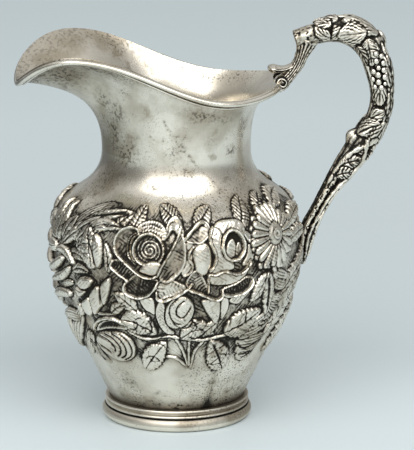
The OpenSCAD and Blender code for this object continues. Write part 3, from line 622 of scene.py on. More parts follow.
# Petals between the two roses
band.petal([(-103.4, 98), (-99, 100.3), (-94.5, 98.3), (-90, 94.6), (-94.6, 90.6), (-99.5, 88.2), (-102.6, 86.6),
            (-104.2, 89), (-104, 93.5)], 3.0, 1.9, hatch=0.28)
band.petal([(-90.5, 97), (-87.8, 103), (-85, 104), (-82, 99.5), (-79.8, 93), (-79.6, 88), (-84, 90), (-88.5, 93)],
           2.4, 0.7, hatch=0.2, dark=0.35)
band.petal([(-90.8, 119.5), (-87, 119.3), (-86, 115), (-87.5, 110.5), (-86.7, 106), (-89, 102), (-91.8, 100.8),
            (-92.3, 106), (-91.4, 112)], 2.8, 2.0)
band.petal([(-87, 117), (-83, 120.4), (-79.3, 117.6), (-78.3, 110), (-79.5, 103.6), (-82.5, 101), (-85.6, 104),
            (-87, 110)], 1.6, 1.9, dome=1.5)
band.petal([(-91.2, 121.5), (-88.2, 126), (-84.2, 129.8), (-80.3, 130.3), (-78.2, 127), (-79.4, 122.5), (-83, 119.3),
            (-87, 119.3)], 3.0, 1.2, dark=0.4)
band.roll([(-91, 120.8), (-88.3, 124.6), (-85, 128), (-81.5, 130)], 0.99, 4.1)
band.petal([(-99.4, 122), (-99.7, 127), (-97.7, 131.7), (-94, 132.4), (-91.8, 129), (-90.9, 124.5), (-92.4, 120.6),
            (-94.4, 124), (-96.4, 126)], 3.2, 2.4, dome=0.6)
band.boss(-94.2, 127.2, radius=3.6, high=1.5)
band.groove([(-98.7, 122.6), (-98.4, 127.6), (-96, 130.4)], 0.38, 1.0)
band.roll([(-86, 118.6), (-88.7, 114.8), (-89, 111), (-87.3, 107.5), (-88.2, 103.6), (-91.4, 101)], 0.57, 3.8)

# Left rose: back petals, side petals, cup, spiral heart and the rolled edges
band.petal([(-114.5, 124), (-113.4, 128), (-110, 130.4), (-106, 130.8), (-102, 129.6), (-99.4, 126), (-100, 121),
            (-107, 122)], 1.8, 1.5, hatch=0.3, dark=0.15)
band.groove([(-113, 127.2), (-107, 129), (-101, 127)], 0.4, 0.7)
band.groove([(-112.6, 125.6), (-107, 127.2), (-101, 125.2)], 0.35, 0.6)
band.petal([(-119.6, 109), (-124.4, 108.6), (-125.8, 104.4), (-123.4, 101.6), (-119.4, 98.7), (-117.3, 97),
            (-113, 101), (-116, 106)], 2.8, 1.0, hatch=0.2, dark=0.35)
band.petal([(-113.2, 101.4), (-117, 97.8), (-119.3, 93.4), (-118.6, 90.2), (-116, 88.2), (-112, 87.8), (-107.6, 89.8),
            (-104.4, 94), (-102.9, 98.6), (-107, 100)], 3.0, 0.7, hatch=0.15, dark=0.4)
band.petal([(-102.6, 100), (-101.4, 106), (-98.6, 112), (-96, 118), (-93, 125), (-91.4, 124), (-90.2, 118),
            (-90.2, 111), (-92.2, 104), (-95.6, 99.3), (-99.8, 97)], 2.3, 0.8, roll=3.2, dark=0.38)
band.petal([(-112.5, 125.3), (-117, 126.3), (-121.2, 124.2), (-123.5, 119.3), (-122.7, 113), (-119.7, 109.3),
            (-115.6, 105), (-111, 101), (-106.6, 99.8), (-103, 101.5), (-103, 107), (-108, 110)], 3.4, 0.8, roll=1.6,
            dark=0.42)
bowl = [(-107.3 + 7.0 * math.cos(q), 115.6 + 8.6 * math.sin(q)) for q in np.arange(0, 2 * math.pi, math.pi / 8)]
band.petal(bowl, 3.8, 0.8, roll=1.5, dark=0.42)
heart = [(-107.0 + 5.7 * (1 - k / 44) * math.cos(0.5 * k + 2.2),
          115.4 + 7.0 * (1 - k / 44) * math.sin(0.5 * k + 2.2)) for k in range(43)]
band.roll(heart, 0.27, 1.8)
band.roll(bowl, 0.6, 4.3, closed=True)
band.petal([(-111.6, 103.8), (-108.8, 108.2), (-104.6, 109.6), (-101.3, 108.4), (-101.8, 103.6), (-105, 101.3),
            (-109, 102.2)], 2.6, 2.6, dome=0.9)
for points, half, level in (
        ([(-112, 125.2), (-116, 122.3), (-117.4, 117), (-116.6, 111.5), (-113.6, 107)], 0.34, 3.4),
        ([(-111.6, 124.4), (-114.8, 121.4), (-115.8, 116.6), (-115, 111.4), (-112.4, 107.8)], 0.4, 3.8),
        ([(-112, 125.5), (-117, 126.5), (-121.3, 124.4), (-123.6, 119.5), (-122.8, 113), (-119.8, 109.3),
          (-115.5, 105), (-111, 101), (-106.5, 99.8), (-103, 101.5)], 0.65, 4.1),
        ([(-103.4, 100), (-102, 104.5), (-100.4, 108.6), (-98, 113.6), (-95.5, 119), (-93.2, 124.6), (-92, 127.6)],
         0.65, 4.3),
        ([(-117.6, 97.6), (-119.3, 93.4), (-118.4, 90), (-115.6, 88.2), (-112, 87.8), (-108.2, 89.4), (-105.4, 92.5),
          (-103.3, 97.4)], 0.84, 3.7),
        ([(-124.6, 108.4), (-125.9, 104.4), (-123.3, 101.4), (-119.3, 98.6), (-117.2, 96.6)], 0.61, 3.0),
        ([(-104, 92), (-103.4, 88), (-101, 86.6), (-97, 88.3), (-93.5, 90.4), (-90, 93.4), (-87.4, 96)], 0.76, 3.9),
        ([(-90, 93.3), (-86, 91.8), (-82.5, 89.8), (-79, 87.7), (-75.5, 86.5), (-73.3, 88), (-73.3, 91.6)], 0.76,
         3.9)):
    band.roll(points, half, level)

# Right rose
band.petal([(-77.4, 124), (-76, 128), (-72.6, 130), (-68, 130.4), (-63, 129.6), (-60.2, 126), (-62, 121), (-72, 121)],
           1.82, 2.0)
band.petal([(-78, 127.3), (-79.3, 121.5), (-77.8, 116), (-76.6, 111), (-77.6, 106.8), (-80, 102.8), (-76, 101.3),
            (-72, 102.4), (-67.5, 104), (-69, 109), (-73, 112), (-73.8, 118), (-73, 124), (-75, 126.6)], 2.43, 2.5)
band.petal([(-80, 102), (-76.4, 101), (-73, 102), (-69, 101.2), (-66, 100.4), (-62.4, 102), (-59.4, 105.5),
            (-61, 99.6), (-66, 95.6), (-72, 94.6), (-79, 96)], 1.98, 2.0)
band.petal([(-73, 92.5), (-66.4, 95), (-61, 98), (-56.4, 96.4), (-57.8, 92), (-62, 88.8), (-67, 87.8), (-72.4, 88.6)],
           2.8, 0.5, hatch=0.2, dark=0.42)
band.petal([(-62, 124), (-59.6, 118), (-60.2, 111), (-63, 105), (-59.4, 104.5), (-56.6, 108), (-56, 115),
            (-57.6, 121.6)], 1.52, 1.2)
ring = [(-67.7 + 5.5 * math.cos(q), 116.6 + 8.0 * math.sin(q)) for q in np.arange(0, 2 * math.pi, math.pi / 6)]
band.petal(ring, 3.8, 0.1, roll=2.2, dark=0.42)
band.petal([(-71.2, 114), (-70, 118.6), (-67.6, 120.4), (-66.2, 117), (-66.7, 112), (-68.4, 109.8), (-70.5, 111.4)],
           1.67, 1.3)
band.petal([(-66.6, 112), (-65.4, 117.4), (-63.8, 118), (-63.4, 113.4), (-65, 109.8)], 1.37, 0.9)
for points, half, level in (
        ([(-77, 128), (-79, 122.6), (-78.6, 118.5), (-77, 114), (-76.6, 110.5), (-77.6, 106.5), (-79.7, 103)], 0.65,
         4.3),
        ([(-79.8, 101.8), (-77, 101.2), (-74.5, 102.3), (-72, 102.6), (-69, 101.4), (-66, 100.4), (-63, 101.4),
          (-60.4, 104), (-58.4, 107)], 0.65, 4.1),
        ([(-73.2, 91.5), (-72.2, 89), (-68.5, 87.8), (-65, 88), (-61.5, 89), (-58.6, 91.4), (-56.6, 95)], 0.84, 3.7),
        ([(-79.8, 102), (-80.2, 98), (-79.7, 94.5), (-79.9, 90.4)], 0.53, 3.9)):
    band.roll(points, half, level)
band.roll(ring, 0.75, 4.3, closed=True)

# Daisy, the star flower's eye and its one turned petal
band.daisy(-42.6, 118.6, eye=6.0, reach=19.0, count=20, high=3.6)
band.blade([(-160, 107), (-155.5, 107.5), (-148.6, 101)], 5.0, 3.6, stripes=1)
band.boss(-160.5, 108, radius=4.5, high=0.8)

# Tracer lines cut into the leaves and petals last of all
for points, half, depth in (
        ([(-148.9, 120.7), (-146, 124.9), (-140.8, 128.5), (-133.3, 130.7), (-124.4, 132.2), (-119.9, 132.7)], 0.65,
         1.5),
        ([(-132.9, 127.1), (-129.6, 125.5), (-125.9, 126.5), (-120.7, 126.6)], 0.5, 1),
        ([(-142.2, 122.2), (-138.5, 124.2), (-134.8, 122.8), (-130.3, 121.6)], 0.4, 0.7),
        ([(-139.3, 118.7), (-137.4, 114.2), (-135.5, 107.8), (-134.4, 102.4)], 0.5, 1),
        ([(-137, 114.6), (-140, 114.9), (-142.8, 114.2)], 0.4, 0.8),
        ([(-135.9, 109.2), (-139.3, 109.6), (-142.2, 108.9)], 0.4, 0.8),
        ([(-138.5, 116.9), (-136.3, 117.8), (-134.8, 116.5)], 0.4, 0.7),
        ([(-142.6, 94), (-139.3, 94.9), (-135.5, 93.7), (-134.8, 91.5)], 0.5, 0.9),
        ([(-147.4, 86.9), (-143.7, 86.9), (-140, 85.5)], 0.5, 0.8),
        ([(-132.9, 95.1), (-132.7, 87.8), (-133.3, 79.6)], 0.5, 0.9),
        ([(-121.4, 73.5), (-117.7, 73), (-114.1, 72.7)], 0.5, 1),
        ([(-114.7, 74.2), (-113.8, 71.5), (-115.5, 68.3), (-119.2, 68.5)], 0.45, 0.9),
        ([(-112.5, 69.5), (-109.5, 69.5), (-107.3, 68.7)], 0.45, 0.9),
        ([(-108.8, 75.1), (-106.9, 71.5), (-107.1, 67.8), (-109.5, 65.3), (-113.2, 64.8)], 0.5, 1),
        ([(-112.1, 54.2), (-110.6, 57.8), (-106.5, 59.2), (-102.1, 58.9), (-99.7, 56)], 0.5, 1),
        ([(-104.7, 54.6), (-103.5, 56.9), (-102.4, 58.5)], 0.4, 0.8),
        ([(-112.5, 49.2), (-108.8, 51.3), (-105, 49.6), (-104.1, 46.5)], 0.45, 0.9),
        ([(-109.5, 46.7), (-108.4, 49.2), (-107.1, 50.7)], 0.4, 0.8),
        ([(-108.8, 62.4), (-102.8, 63.7), (-98.3, 65.1), (-96.1, 63.7)], 0.5, 0.9),
        ([(-96.6, 75.5), (-95.5, 72.4), (-92.6, 69.8), (-88.8, 70.4), (-86.7, 73.3)], 0.45, 0.9),
        ([(-89.2, 70.1), (-86.6, 73.3), (-84.7, 70.5), (-85.5, 68.7)], 0.45, 0.9),
        ([(-84.7, 70.1), (-82.1, 68.7), (-80.5, 66.7)], 0.45, 0.9),
        ([(-88.8, 64.6), (-85.1, 62.8), (-81.4, 64.6), (-79.9, 67.4)], 0.5, 1),
        ([(-67.2, 67.6), (-63.5, 68), (-59.4, 69.5)], 0.5, 1),
        ([(-58.9, 78.7), (-59.2, 74.2), (-58.9, 70.5), (-57.2, 69.8)], 0.5, 1),
        ([(-67.6, 68.7), (-67.2, 73.3), (-65.7, 76.9)], 0.45, 0.9),
        ([(-58.3, 70.5), (-56.1, 71.5), (-54.6, 73.3)], 0.4, 0.8),
        ([(-48.1, 95.1), (-47, 89.6), (-46.4, 82.4), (-46.2, 76.9)], 0.6, 1.4),
        ([(-47.3, 87.8), (-50.5, 87.1), (-53.8, 85.1)], 0.4, 0.7),
        ([(-47, 83.3), (-50.1, 82.8), (-53.8, 81.3)], 0.4, 0.7),
        ([(-46.5, 78.7), (-50.1, 78.9), (-52.3, 78.3)], 0.4, 0.7),
        ([(-75.3, 59.6), (-73.2, 55.1), (-71.3, 51.5), (-68.4, 46)], 0.5, 1.1),
        ([(-73.2, 55.1), (-76.2, 52.4), (-79.2, 50.5)], 0.45, 0.9),
        ([(-72.1, 55.5), (-68.7, 56.5), (-65, 55.1), (-63.5, 51.5)], 0.45, 0.9),
        ([(-71.3, 51.5), (-68, 51.5), (-65, 49.6)], 0.45, 0.9),
        ([(-70.2, 49.6), (-73.2, 46.9), (-75.1, 44.6)], 0.45, 0.9),
        ([(-60.5, 57.4), (-55.3, 52.4), (-49.4, 52.4), (-43.4, 56)], 0.5, 1),
        ([(-61.3, 58.7), (-56.1, 58.3), (-51.6, 59.6)], 0.45, 0.9),
        ([(-56.8, 48), (-51.6, 47.8), (-46.4, 49.2)], 0.45, 0.9),
        ([(-53.8, 45.1), (-47.9, 46.9), (-41.9, 49.6)], 0.45, 0.9),
        ([(-48.6, 68.7), (-45.6, 68), (-42.7, 66.9)], 0.45, 0.9),
        ([(-49.4, 66), (-44.9, 65.1), (-40.4, 66.9)], 0.45, 0.9),
        ([(-47.9, 61), (-41.9, 62.4), (-35.2, 66.9)], 0.5, 1),
        ([(-41.9, 83.3), (-36.7, 83.3), (-30.8, 85.1)], 0.5, 1)):
    band.groove(points, half, depth)

# The sides stand prouder than the front, the ground is driven up between the shapes,
# and everything is hatched with a fine tracer, matted with a punch, grimy in the hollows and darkened there with
# painted shade
side = climb(np.abs(band.a + 90.0), SIDE_FROM, SIDE_TO)
swell = np.where(band.a < -90.0, LEFT_SWELL, RIGHT_SWELL) * side * side * (3 - 2 * side)
band.relief = band.softened(band.relief, 0.22) + swell * band.softened(np.maximum(band.relief, 0.0), 1.3)
cover = capped(band.softened((band.relief > 0.15).astype(float), 3.6) * 2.3)
cover = np.maximum(cover, climb(band.y, GROUND_LOW, GROUND_LOW + GROUND_FADE)
                   * (1.0 - climb(band.y, GROUND_TOP - GROUND_FADE, GROUND_TOP)))
ground = capped(1.0 - band.relief / 1.1) * cover
bed = 0.62 * band.softened(np.maximum(band.relief, 0.0), 2.4)
band.relief += 0.72 * np.maximum(bed - band.relief, 0.0)
draws = np.random.default_rng(5)
grit, sway = band.uneven(draws, 0.4) * cover, band.uneven(draws, 5.0)
strokes = np.where(sway > 0, 0.55 * band.x + 0.83 * band.y, 0.76 * band.x - 0.65 * band.y)
hatching = capped(np.sin(strokes * 2 * math.pi / HATCH_PITCH + 2.2 * sway))
hatching = hatching * capped(0.4 + 0.8 * band.uneven(draws, 1.3)) * cover
punch = np.sin(band.x * 3.9 + 1.3 * np.sin(band.y * 1.7)) * np.sin(band.y * 3.7 + 1.3 * np.sin(band.x * 1.9))
band.relief += 0.10 * punch * ground + 0.04 * grit - 0.14 * hatching
# Oxide fills the cut lines, the hatching and the ground; the terms from the blurred relief darken every hollow as
# painted shade as well as oxide
dirt_and_shade = (0.32 + 0.58 * band.softened(band.ink, 0.2) + (0.28 + 0.14 * punch) * ground + 0.06 * grit
        + 0.26 * hatching + 0.06 * band.uneven(draws, 3.0)
        + 0.12 * (band.softened(band.relief, 2.6) - band.relief)
        + 0.30 * (band.softened(band.relief, 0.8) - band.relief))
dirt_and_shade = capped(dirt_and_shade) * cover + 0.3 * (1 - cover)


def even_rows(low, high, step):
    """Points of the body's line between two heights, evenly spaced along it."""
    part = body_line[(body_line[:, 1] >= low) & (body_line[:, 1] <= high)]
    run = np.concatenate([[0.0], np.cumsum(np.linalg.norm(np.diff(part, axis=0), axis=1))])
    at = np.linspace(0.0, run[-1], int(run[-1] / step) + 1)
    return np.stack([np.interp(at, run, part[:, 0]), np.interp(at, run, part[:, 1])], 1)


def line_out(line):
    """Unit normals of a line of radii and heights, away from the axis."""
    lean = np.gradient(line, axis=0)
    return np.stack([lean[:, 1], -lean[:, 0]], 1) / np.linalg.norm(lean, axis=1)[:, None]


def quads(rows, wide, around=True, over=False, flip=False):
    """Faces between rows of points of one width, closed around each row, and from the last row over to the first."""
    i, j = np.meshgrid(np.arange(rows - 1 + over), np.arange(wide - 1 + around), indexing="ij")
    i, j = i.ravel(), j.ravel()
    up, on = (i + 1) % rows, (j + 1) % wide
    faces = np.stack([i * wide + j, i * wide + on, up * wide + on, up * wide + j], 1)
    return faces[:, [0, 3, 2, 1] if flip else [0, 1, 2, 3]].tolist()


def spotted(turn, high, spots):
    """The strongest of some soft spots, each with its turn, height, width, rise and strength."""
    field = 0.0 * turn * high
    for turn_at, high_at, wide, tall, strength in spots:
        field = np.maximum(field, strength * bell(turn - turn_at, wide) * bell(high - high_at, tall))
    return field


def scratched(turn, z):
    """The long scratch that runs down the neck and over the shoulder, 1 in its middle."""
    mm_per_degree = 0.8
    line = np.array([(-105.5, 175.0), (-102.5, 171.5), (-98.0, 169.5), (-92.5, 165.0), (-82.0, 160.8),
                     (-76.5, 155.5), (-70.0, 151.5), (-64.0, 146.1)]) * (mm_per_degree, 1.0)
    x, y = np.broadcast_arrays(mm_per_degree * turn, z)
    return bell(band.measured(line, x, y)[0], 0.55)


rows = np.vstack([even_rows(BASE_Z, RELIEF_FINE, ROW_STEP)[:-1], even_rows(RELIEF_FINE, RELIEF_TOP, FINE_STEP),
                  even_rows(RELIEF_TOP, WAIST_Z, SHOULDER_STEP)[1:]])
rows[-1] = (WAIST_R, WAIST_Z)
row_r, row_z = rows[:, :1], rows[:, 1:]
out_r, out_z = np.hsplit(line_out(rows), 2)
inner = even_rows(BASE_Z + BOTTOM, WAIST_Z, INNER_STEP)
inner = (inner - WALL * line_out(inner))[::-1]
inner[0] = (WAIST_R - WALL, WAIST_Z)
body_silver = silver("body_silver", rough=0.24, tarnish=0.7, specks=0.7, dents=0.4)
body_spots = [(-86.5, 154.9, 3.5, 2.2, 1.0), (-110.5, 146.1, 5.0, 2.0, 0.8), (-63.5, 143.7, 2.2, 1.4, 0.9),
              (-136.0, 158.0, 10.0, 4.0, 0.8), (-150.0, 148.0, 8.0, 6.0, 0.6), (-130.0, 30.0, 5.0, 5.0, 0.8),
              (-105.0, 24.0, 6.0, 1.8, 0.8), (-93.0, 16.0, 9.0, 2.2, 0.9), (-112.0, 18.0, 7.0, 2.5, 0.7),
              (-70.0, 30.0, 8.0, 2.4, 0.6), (-52.0, 22.0, 3.0, 1.5, 0.9), (-143.0, 22.0, 6.0, 4.0, 0.6),
              (60.0, 26.0, 7.0, 3.0, 0.7), (118.0, 20.0, 8.0, 3.0, 0.8)]


def body_quarter(name, first, last):
    """One quarter of the body as a closed shell: relief outside, plain wall inside, cut flat at its sides."""
    a = np.linspace(first, last, COLUMNS + 1)[None, :]
    turn = np.radians(a)
    high = band.at(band.relief, a, row_z) * ((row_z > RELIEF_LOW) & (row_z < RELIEF_TOP))
    r = np.vstack([row_r + high * out_r, np.repeat(inner[:, :1], a.size, 1)])
    z = np.vstack([row_z + high * out_z, np.repeat(inner[:, 1:], a.size, 1)])
    grid = np.stack([r * np.cos(turn), r * np.sin(turn), z], -1).reshape(-1, 3)
    count, wide = len(rows) + len(inner), COLUMNS + 1
    faces = quads(count, wide, around=False)
    bottom, floor, top = len(grid), len(grid) + 1, (count - 1) * wide
    grid = np.vstack([grid, [(0.0, 0.0, BASE_Z), (0.0, 0.0, inner[-1, 1])]])
    for j in range(COLUMNS):
        faces += [[bottom, j + 1, j], [floor, top + j, top + j + 1]]
    faces.append([bottom] + [i * wide for i in range(count)] + [floor])
    faces.append(([bottom] + [i * wide + COLUMNS for i in range(count)] + [floor])[::-1])
    plain = np.ones(len(inner) * wide + 2)
    # The band's oxide and painted shade, darker towards the foot over its lowest few millimetres, and a stain high on
    # the left
    body_grime_and_shade = (band.at(dirt_and_shade, a, row_z) + 0.42 * bell(row_z - BASE_Z, 8.0)
            + STAIN * bell(a - STAIN_TURN, STAIN_WIDE) * climb(row_z, 134.0, 142.0))
    made = piece(name, grid, faces, body_silver, np.concatenate([body_grime_and_shade.ravel(), 0.35 * plain]), sharp=85)
    marks = np.maximum(spotted(a, row_z, body_spots), 0.9 * scratched(a, row_z))
    marked(made, "pitted", np.concatenate([marks.ravel(), 0.0 * plain]))
    finished(made, "silver_relief", "body", "flower_band")


for name, first in (("body_front_left", -180.0), ("body_front_right", -90.0), ("body_back_right", 0.0),
                    ("body_back_left", 90.0)):
    body_quarter(name, first, first + 90.0)

# Neck and spout
# The sheet above the waist, flared out by hammer into a wide mouth that runs forward into the spout.
# It is planished smooth, and years of polish have left soft clouds, specks and fine scratches.
MOUTH_BACK, MOUTH_HALF, SPOUT_REACH, BACK_REACH = 5.0, 49.5, 92.0, 62.0
TIP_Z, CREST_Z, SADDLE_Z, HEEL_Z = 201.0, 221.0, 195.0, 200.0
CREST_X, SADDLE_X = -60.0, 32.0
STAND, FLARE, DROP, SPOUT_LIFT = 0.72, 0.62, 0.34, 0.24
ROUND, RISE, NUDGE = 360, 60, 0.005


def lip_z(x):
    """The lip's height: up from the spout's tip to a crest, down to a saddle and a little up to the handle."""
    front = np.sin(math.pi / 2 * (np.maximum(x + SPOUT_REACH, 0.0) / (CREST_X + SPOUT_REACH)) ** 0.7)
    side = (1 + np.cos(math.pi * (x - CREST_X) / (SADDLE_X - CREST_X))) / 2
    back = ((x - SADDLE_X) / (BACK_REACH - SADDLE_X)) ** 2
    return np.where(x < CREST_X, TIP_Z + (CREST_Z - TIP_Z) * front,
                    SADDLE_Z + np.where(x < SADDLE_X, (CREST_Z - SADDLE_Z) * side, (HEEL_Z - SADDLE_Z) * back))


def lip(a):
    """The lip's points at angles round the middle of the mouth."""
    c, s = np.cos(a), np.sin(a)
    power = np.where(c < 0, 3.0, 2.0)
    reach = np.where(c < 0, SPOUT_REACH + MOUTH_BACK, BACK_REACH - MOUTH_BACK)
    r = ((np.abs(c) / reach) ** power + (np.abs(s) / MOUTH_HALF) ** power) ** (-1 / power)
    x = MOUTH_BACK + r * c
    return np.stack([x, r * s, lip_z(x)], -1)


def neck_at(a, t):
    """Points of the neck's outside at angles a and shares t of the way from the waist to the lip."""
    a, t = np.broadcast_arrays(np.asarray(a, float), np.asarray(t, float))
    out = np.stack([np.cos(a), np.sin(a), np.zeros_like(a)], -1)
    up = np.array([0.0, 0.0, 1.0])
    low, top = WAIST_R * out + WAIST_Z * up, lip(a)
    reach = np.hypot(top[..., 0], top[..., 1]) - WAIST_R
    rise = top[..., 2] - WAIST_Z
    drop = rise * (DROP - SPOUT_LIFT * reach / (SPOUT_REACH - WAIST_R))
    first = low + (STAND * rise)[..., None] * up
    second = top - (FLARE * reach)[..., None] * out - drop[..., None] * up
    return cubic([low, first, second, top], t)


def unit(v):
    return v / np.linalg.norm(v, axis=-1, keepdims=True)


def neck_up(a, t):
    return unit(neck_at(a, t + NUDGE) - neck_at(a, t - NUDGE))


def neck_out(a, t):
    return unit(np.cross(neck_at(a + NUDGE, t) - neck_at(a - NUDGE, t), neck_up(a, t)))


neck_a = np.linspace(-math.pi, math.pi, ROUND, endpoint=False)[None, :]
neck_t = np.linspace(0.0, 1.0, RISE + 1)[:, None]
neck_turn = np.degrees(neck_a)
neck_outside = neck_at(neck_a, neck_t)
neck_inside = (neck_outside - WALL * neck_out(neck_a, neck_t))[::-1]
neck_points = np.vstack([neck_outside, neck_inside]).reshape(-1, 3)
neck_faces = quads(2 * (RISE + 1), ROUND, over=True)
neck_silver = silver("neck_silver", rough=0.24, tarnish=0.7, specks=0.7, dents=0.4)
# Painted shade in a band just under the lip and on the left side, most towards the back, over tarnish and a stain;
# tarnish inside the spout
under_rim = (0.30 + 0.09 * capped(neck_t * 5.0) + 0.26 * bell(1.0 - neck_t, 0.10)
             + 0.12 * capped(-np.cos(neck_a + 0.5))
             + STAIN * bell(neck_turn - STAIN_TURN, STAIN_WIDE) * bell(neck_t, 0.3))
in_spout = 0.34 + 0.16 * capped(-np.cos(neck_a) * 1.6) * neck_t
neck_shade = np.vstack([under_rim, in_spout[::-1]]).ravel()
neck_and_spout = piece("neck_sheet", neck_points, neck_faces, neck_silver, neck_shade, sharp=60)
pitting = spotted(neck_turn, neck_t, [
    (-160, 0.78, 9, 0.18, 1.0), (-143, 0.80, 12, 0.12, 0.8), (-118, 0.90, 16, 0.07, 0.7), (-154, 0.36, 6, 0.10, 0.8),
    (-143.5, 0.27, 6, 0.07, 0.9), (-136, 0.04, 10, 0.06, 1.0), (-150, 0.13, 7, 0.10, 0.8), (-79, 0.60, 14, 0.13, 0.9),
    (-92.5, 0.12, 4, 0.05, 1.0), (-128, 0.11, 5, 0.025, 0.7), (-115, 0.155, 4, 0.022, 0.6),
    (-105, 0.15, 3.5, 0.022, 0.7), (-97, 0.205, 3.5, 0.035, 1.0), (-88, 0.215, 3.5, 0.03, 0.8),
    (-48.5, 0.06, 4, 0.05, 1.0), (-60, 0.50, 8, 0.10, 0.5), (-36, 0.30, 6, 0.15, 0.6), (60, 0.3, 9, 0.12, 0.8),
    (118, 0.6, 11, 0.12, 0.8), (95, 0.08, 7, 0.06, 0.9), (150, 0.3, 8, 0.14, 0.8)])
pitting = np.maximum(pitting, 0.9 * scratched(neck_turn, WAIST_Z + 42.0 * neck_t))
pitting_in = 0.5 * capped(-np.cos(neck_a) * 1.5) * bell(neck_t - 0.95, 0.22)
marked(neck_and_spout, "pitted", np.vstack([pitting, pitting_in[::-1]]))
finished(neck_and_spout, "silver_plain", "neck_and_spout")

# Rim moulding
# A drawn wire of two beads with a hollow between, bent along the lip and soldered on its outside.
# It stiffens the thin edge and stops at the handle's root on either side.
RIM_GAP, RIM_STEPS = math.radians(21.0), 220


def stacked(count, wide, flip=False):
    """Faces of a closed stack of rings of points: the quads between them and a cap on either end."""
    caps = [list(range(wide))[::-1], list(range((count - 1) * wide, count * wide))]
    return quads(count, wide, flip=flip) + [cap[::-1] if flip else cap for cap in caps]


rim_section = ([(0.2, 0.7)] + arc(1.35, -0.6, 1.5, 120, -70, 12) + [(1.05, -2.6)]
               + arc(0.75, -3.7, 1.0, 62, -80, 8) + [(0.2, -4.9)])
rim_a = np.linspace(RIM_GAP, 2 * math.pi - RIM_GAP, RIM_STEPS + 1)
rim_mid, rim_n, rim_u = neck_at(rim_a, 1.0), neck_out(rim_a, 1.0), neck_up(rim_a, 1.0)
rim_points = np.stack([rim_mid + x * rim_n + y * rim_u for x, y in rim_section], 1).reshape(-1, 3)
# Oxide and painted shade in the groove between the beads, and painted shade under the lower bead where it meets the
# neck
rim_oxide_and_shade = np.tile([0.75 if -3.2 < y < -2.0 or y < -4.4 else 0.3 for x, y in rim_section], RIM_STEPS + 1)
rim_silver = silver("rim_silver", rough=0.24, tarnish=0.8, specks=0.4, dents=0.1)
rim_moulding = piece("rim_wire", rim_points, stacked(RIM_STEPS + 1, len(rim_section)), rim_silver, rim_oxide_and_shade)
finished(rim_moulding, "silver_plain", "rim_moulding")

# Root strap
# A cast strap, ribbed lengthwise, that grows out of the back of the rim and forks into the branch above.
# Its foot is soldered into the gap that the rim moulding leaves.
STRAP_R, STRAP_STEP = 5.0, 0.3


class Limb:
    """A limb of the handle: keys of x, z, half thickness and half width on a smooth line in the mid-plane."""

    def __init__(self, keys):
        self.keys = np.array(keys, float)
        self.t = np.linspace(0.0, len(keys) - 1.0, 60 * len(keys))
        line = self.through(self.t)[:, :2]
        self.run = np.concatenate([[0.0], np.cumsum(np.linalg.norm(np.diff(line, axis=0), axis=1))])
        self.length = self.run[-1]

    def through(self, t):
        """The keys in between, at a count of keys from the first one."""
        last = len(self.keys) - 1
        i = np.clip(np.floor(t).astype(int), 0, last - 1)
        return spline(*(self.keys[np.clip(i + k, 0, last)] for k in (-1, 0, 1, 2)), (t - i)[..., None])

    def at(self, turn, run, high=0.0):
        """Points at turns in degrees from the outer side, a run along the limb and a height over its skin."""
        turn, run, high = np.broadcast_arrays(np.radians(np.asarray(turn, float)), np.asarray(run, float), high)
        t = np.interp(run, self.run, self.t)
        key = self.through(t)
        way = unit(self.through(np.clip(t + 0.02, 0, None))[..., :2] - self.through(t - 0.02)[..., :2])
        thick = (key[..., 2] + high) * np.cos(turn)
        return np.stack([key[..., 0] - way[..., 1] * thick, (key[..., 3] + high) * np.sin(turn),
                         key[..., 1] + way[..., 0] * thick], -1)


def whole(field):
    """A field of a half sheet carried round the whole limb."""
    return np.hstack([field, field[:, -2:0:-1]])


def round_turns(sheet):
    """The turns all the way round a limb that belong to the columns of a whole field."""
    return np.concatenate([sheet.a, -sheet.a[-2:0:-1]])


def limb_piece(name, limb, sheet, material, dirt_and_shade, ends):
    """The skin of a limb as a closed mesh, with domed or cut ends as pairs of share and reach."""
    rings = limb.at(round_turns(sheet)[None, :], sheet.z[:, None], whole(sheet.relief))
    shade = whole(dirt_and_shade)
    for end, inward, steps in zip((0, -1), (1, -2), ends):
        ring, middle = rings[end], rings[end].mean(0)
        out = unit(middle - rings[inward].mean(0))
        added = [middle + (ring - middle) * left + out * reach for left, reach in steps]
        tones = [shade[end]] * len(steps)
        rings = np.vstack([added[::-1], rings] if end == 0 else [rings, added])
        shade = np.vstack([tones, shade] if end == 0 else [shade, tones])
    count, wide = rings.shape[:2]
    return piece(name, rings.reshape(-1, 3), stacked(count, wide, flip=True), material, shade, sharp=70)


def grimed_and_shaded(sheet, base, broad, fine):
    """The share of grime, oxide and painted shade on a chased sheet: more in its hollows, less on what stands proud.
    """
    high = sheet.relief
    hollows = broad * (sheet.softened(high, 1.8) - high) + fine * (sheet.softened(high, 0.7) - high)
    return capped(base + hollows + 0.75 * sheet.softened(sheet.ink, 0.2))


cast_silver = silver("cast_silver", rough=0.27, tarnish=0.75, specks=0.5, dents=0.2)
strap = Limb([(59.4, 194.9, 4.42, 6.4), (66.0, 201.6, 3.5, 6.4), (70.4, 207.6, 3.5, 5.8), (72.8, 213.2, 3.9, 5.8),
              (74.4, 217.6, 5.4, 5.8), (75.6, 221.6, 7.0, 5.7)])
ribs = Chasing(0.0, strap.length, STRAP_R, STRAP_STEP)
for points in ([(-150, 0.5), (-148, 10), (-144, 22), (-150, 31)], [(-128, 0.5), (-124, 9), (-116, 22), (-122, 31)],
               [(-104, 1), (-100, 10), (-94, 22), (-98, 31)], [(-80, 1), (-78, 11), (-72, 22), (-74, 31)],
               [(-56, 0.5), (-54, 10), (-48, 22), (-52, 31)], [(-30, 0.5), (-28, 10), (-24, 22), (-26, 31)]):
    ribs.groove(points, 0.45, 0.9)
ribs.relief += 0.18 * np.sin(ribs.x * 5.3 + 0.8 * np.sin(ribs.y * 0.7))
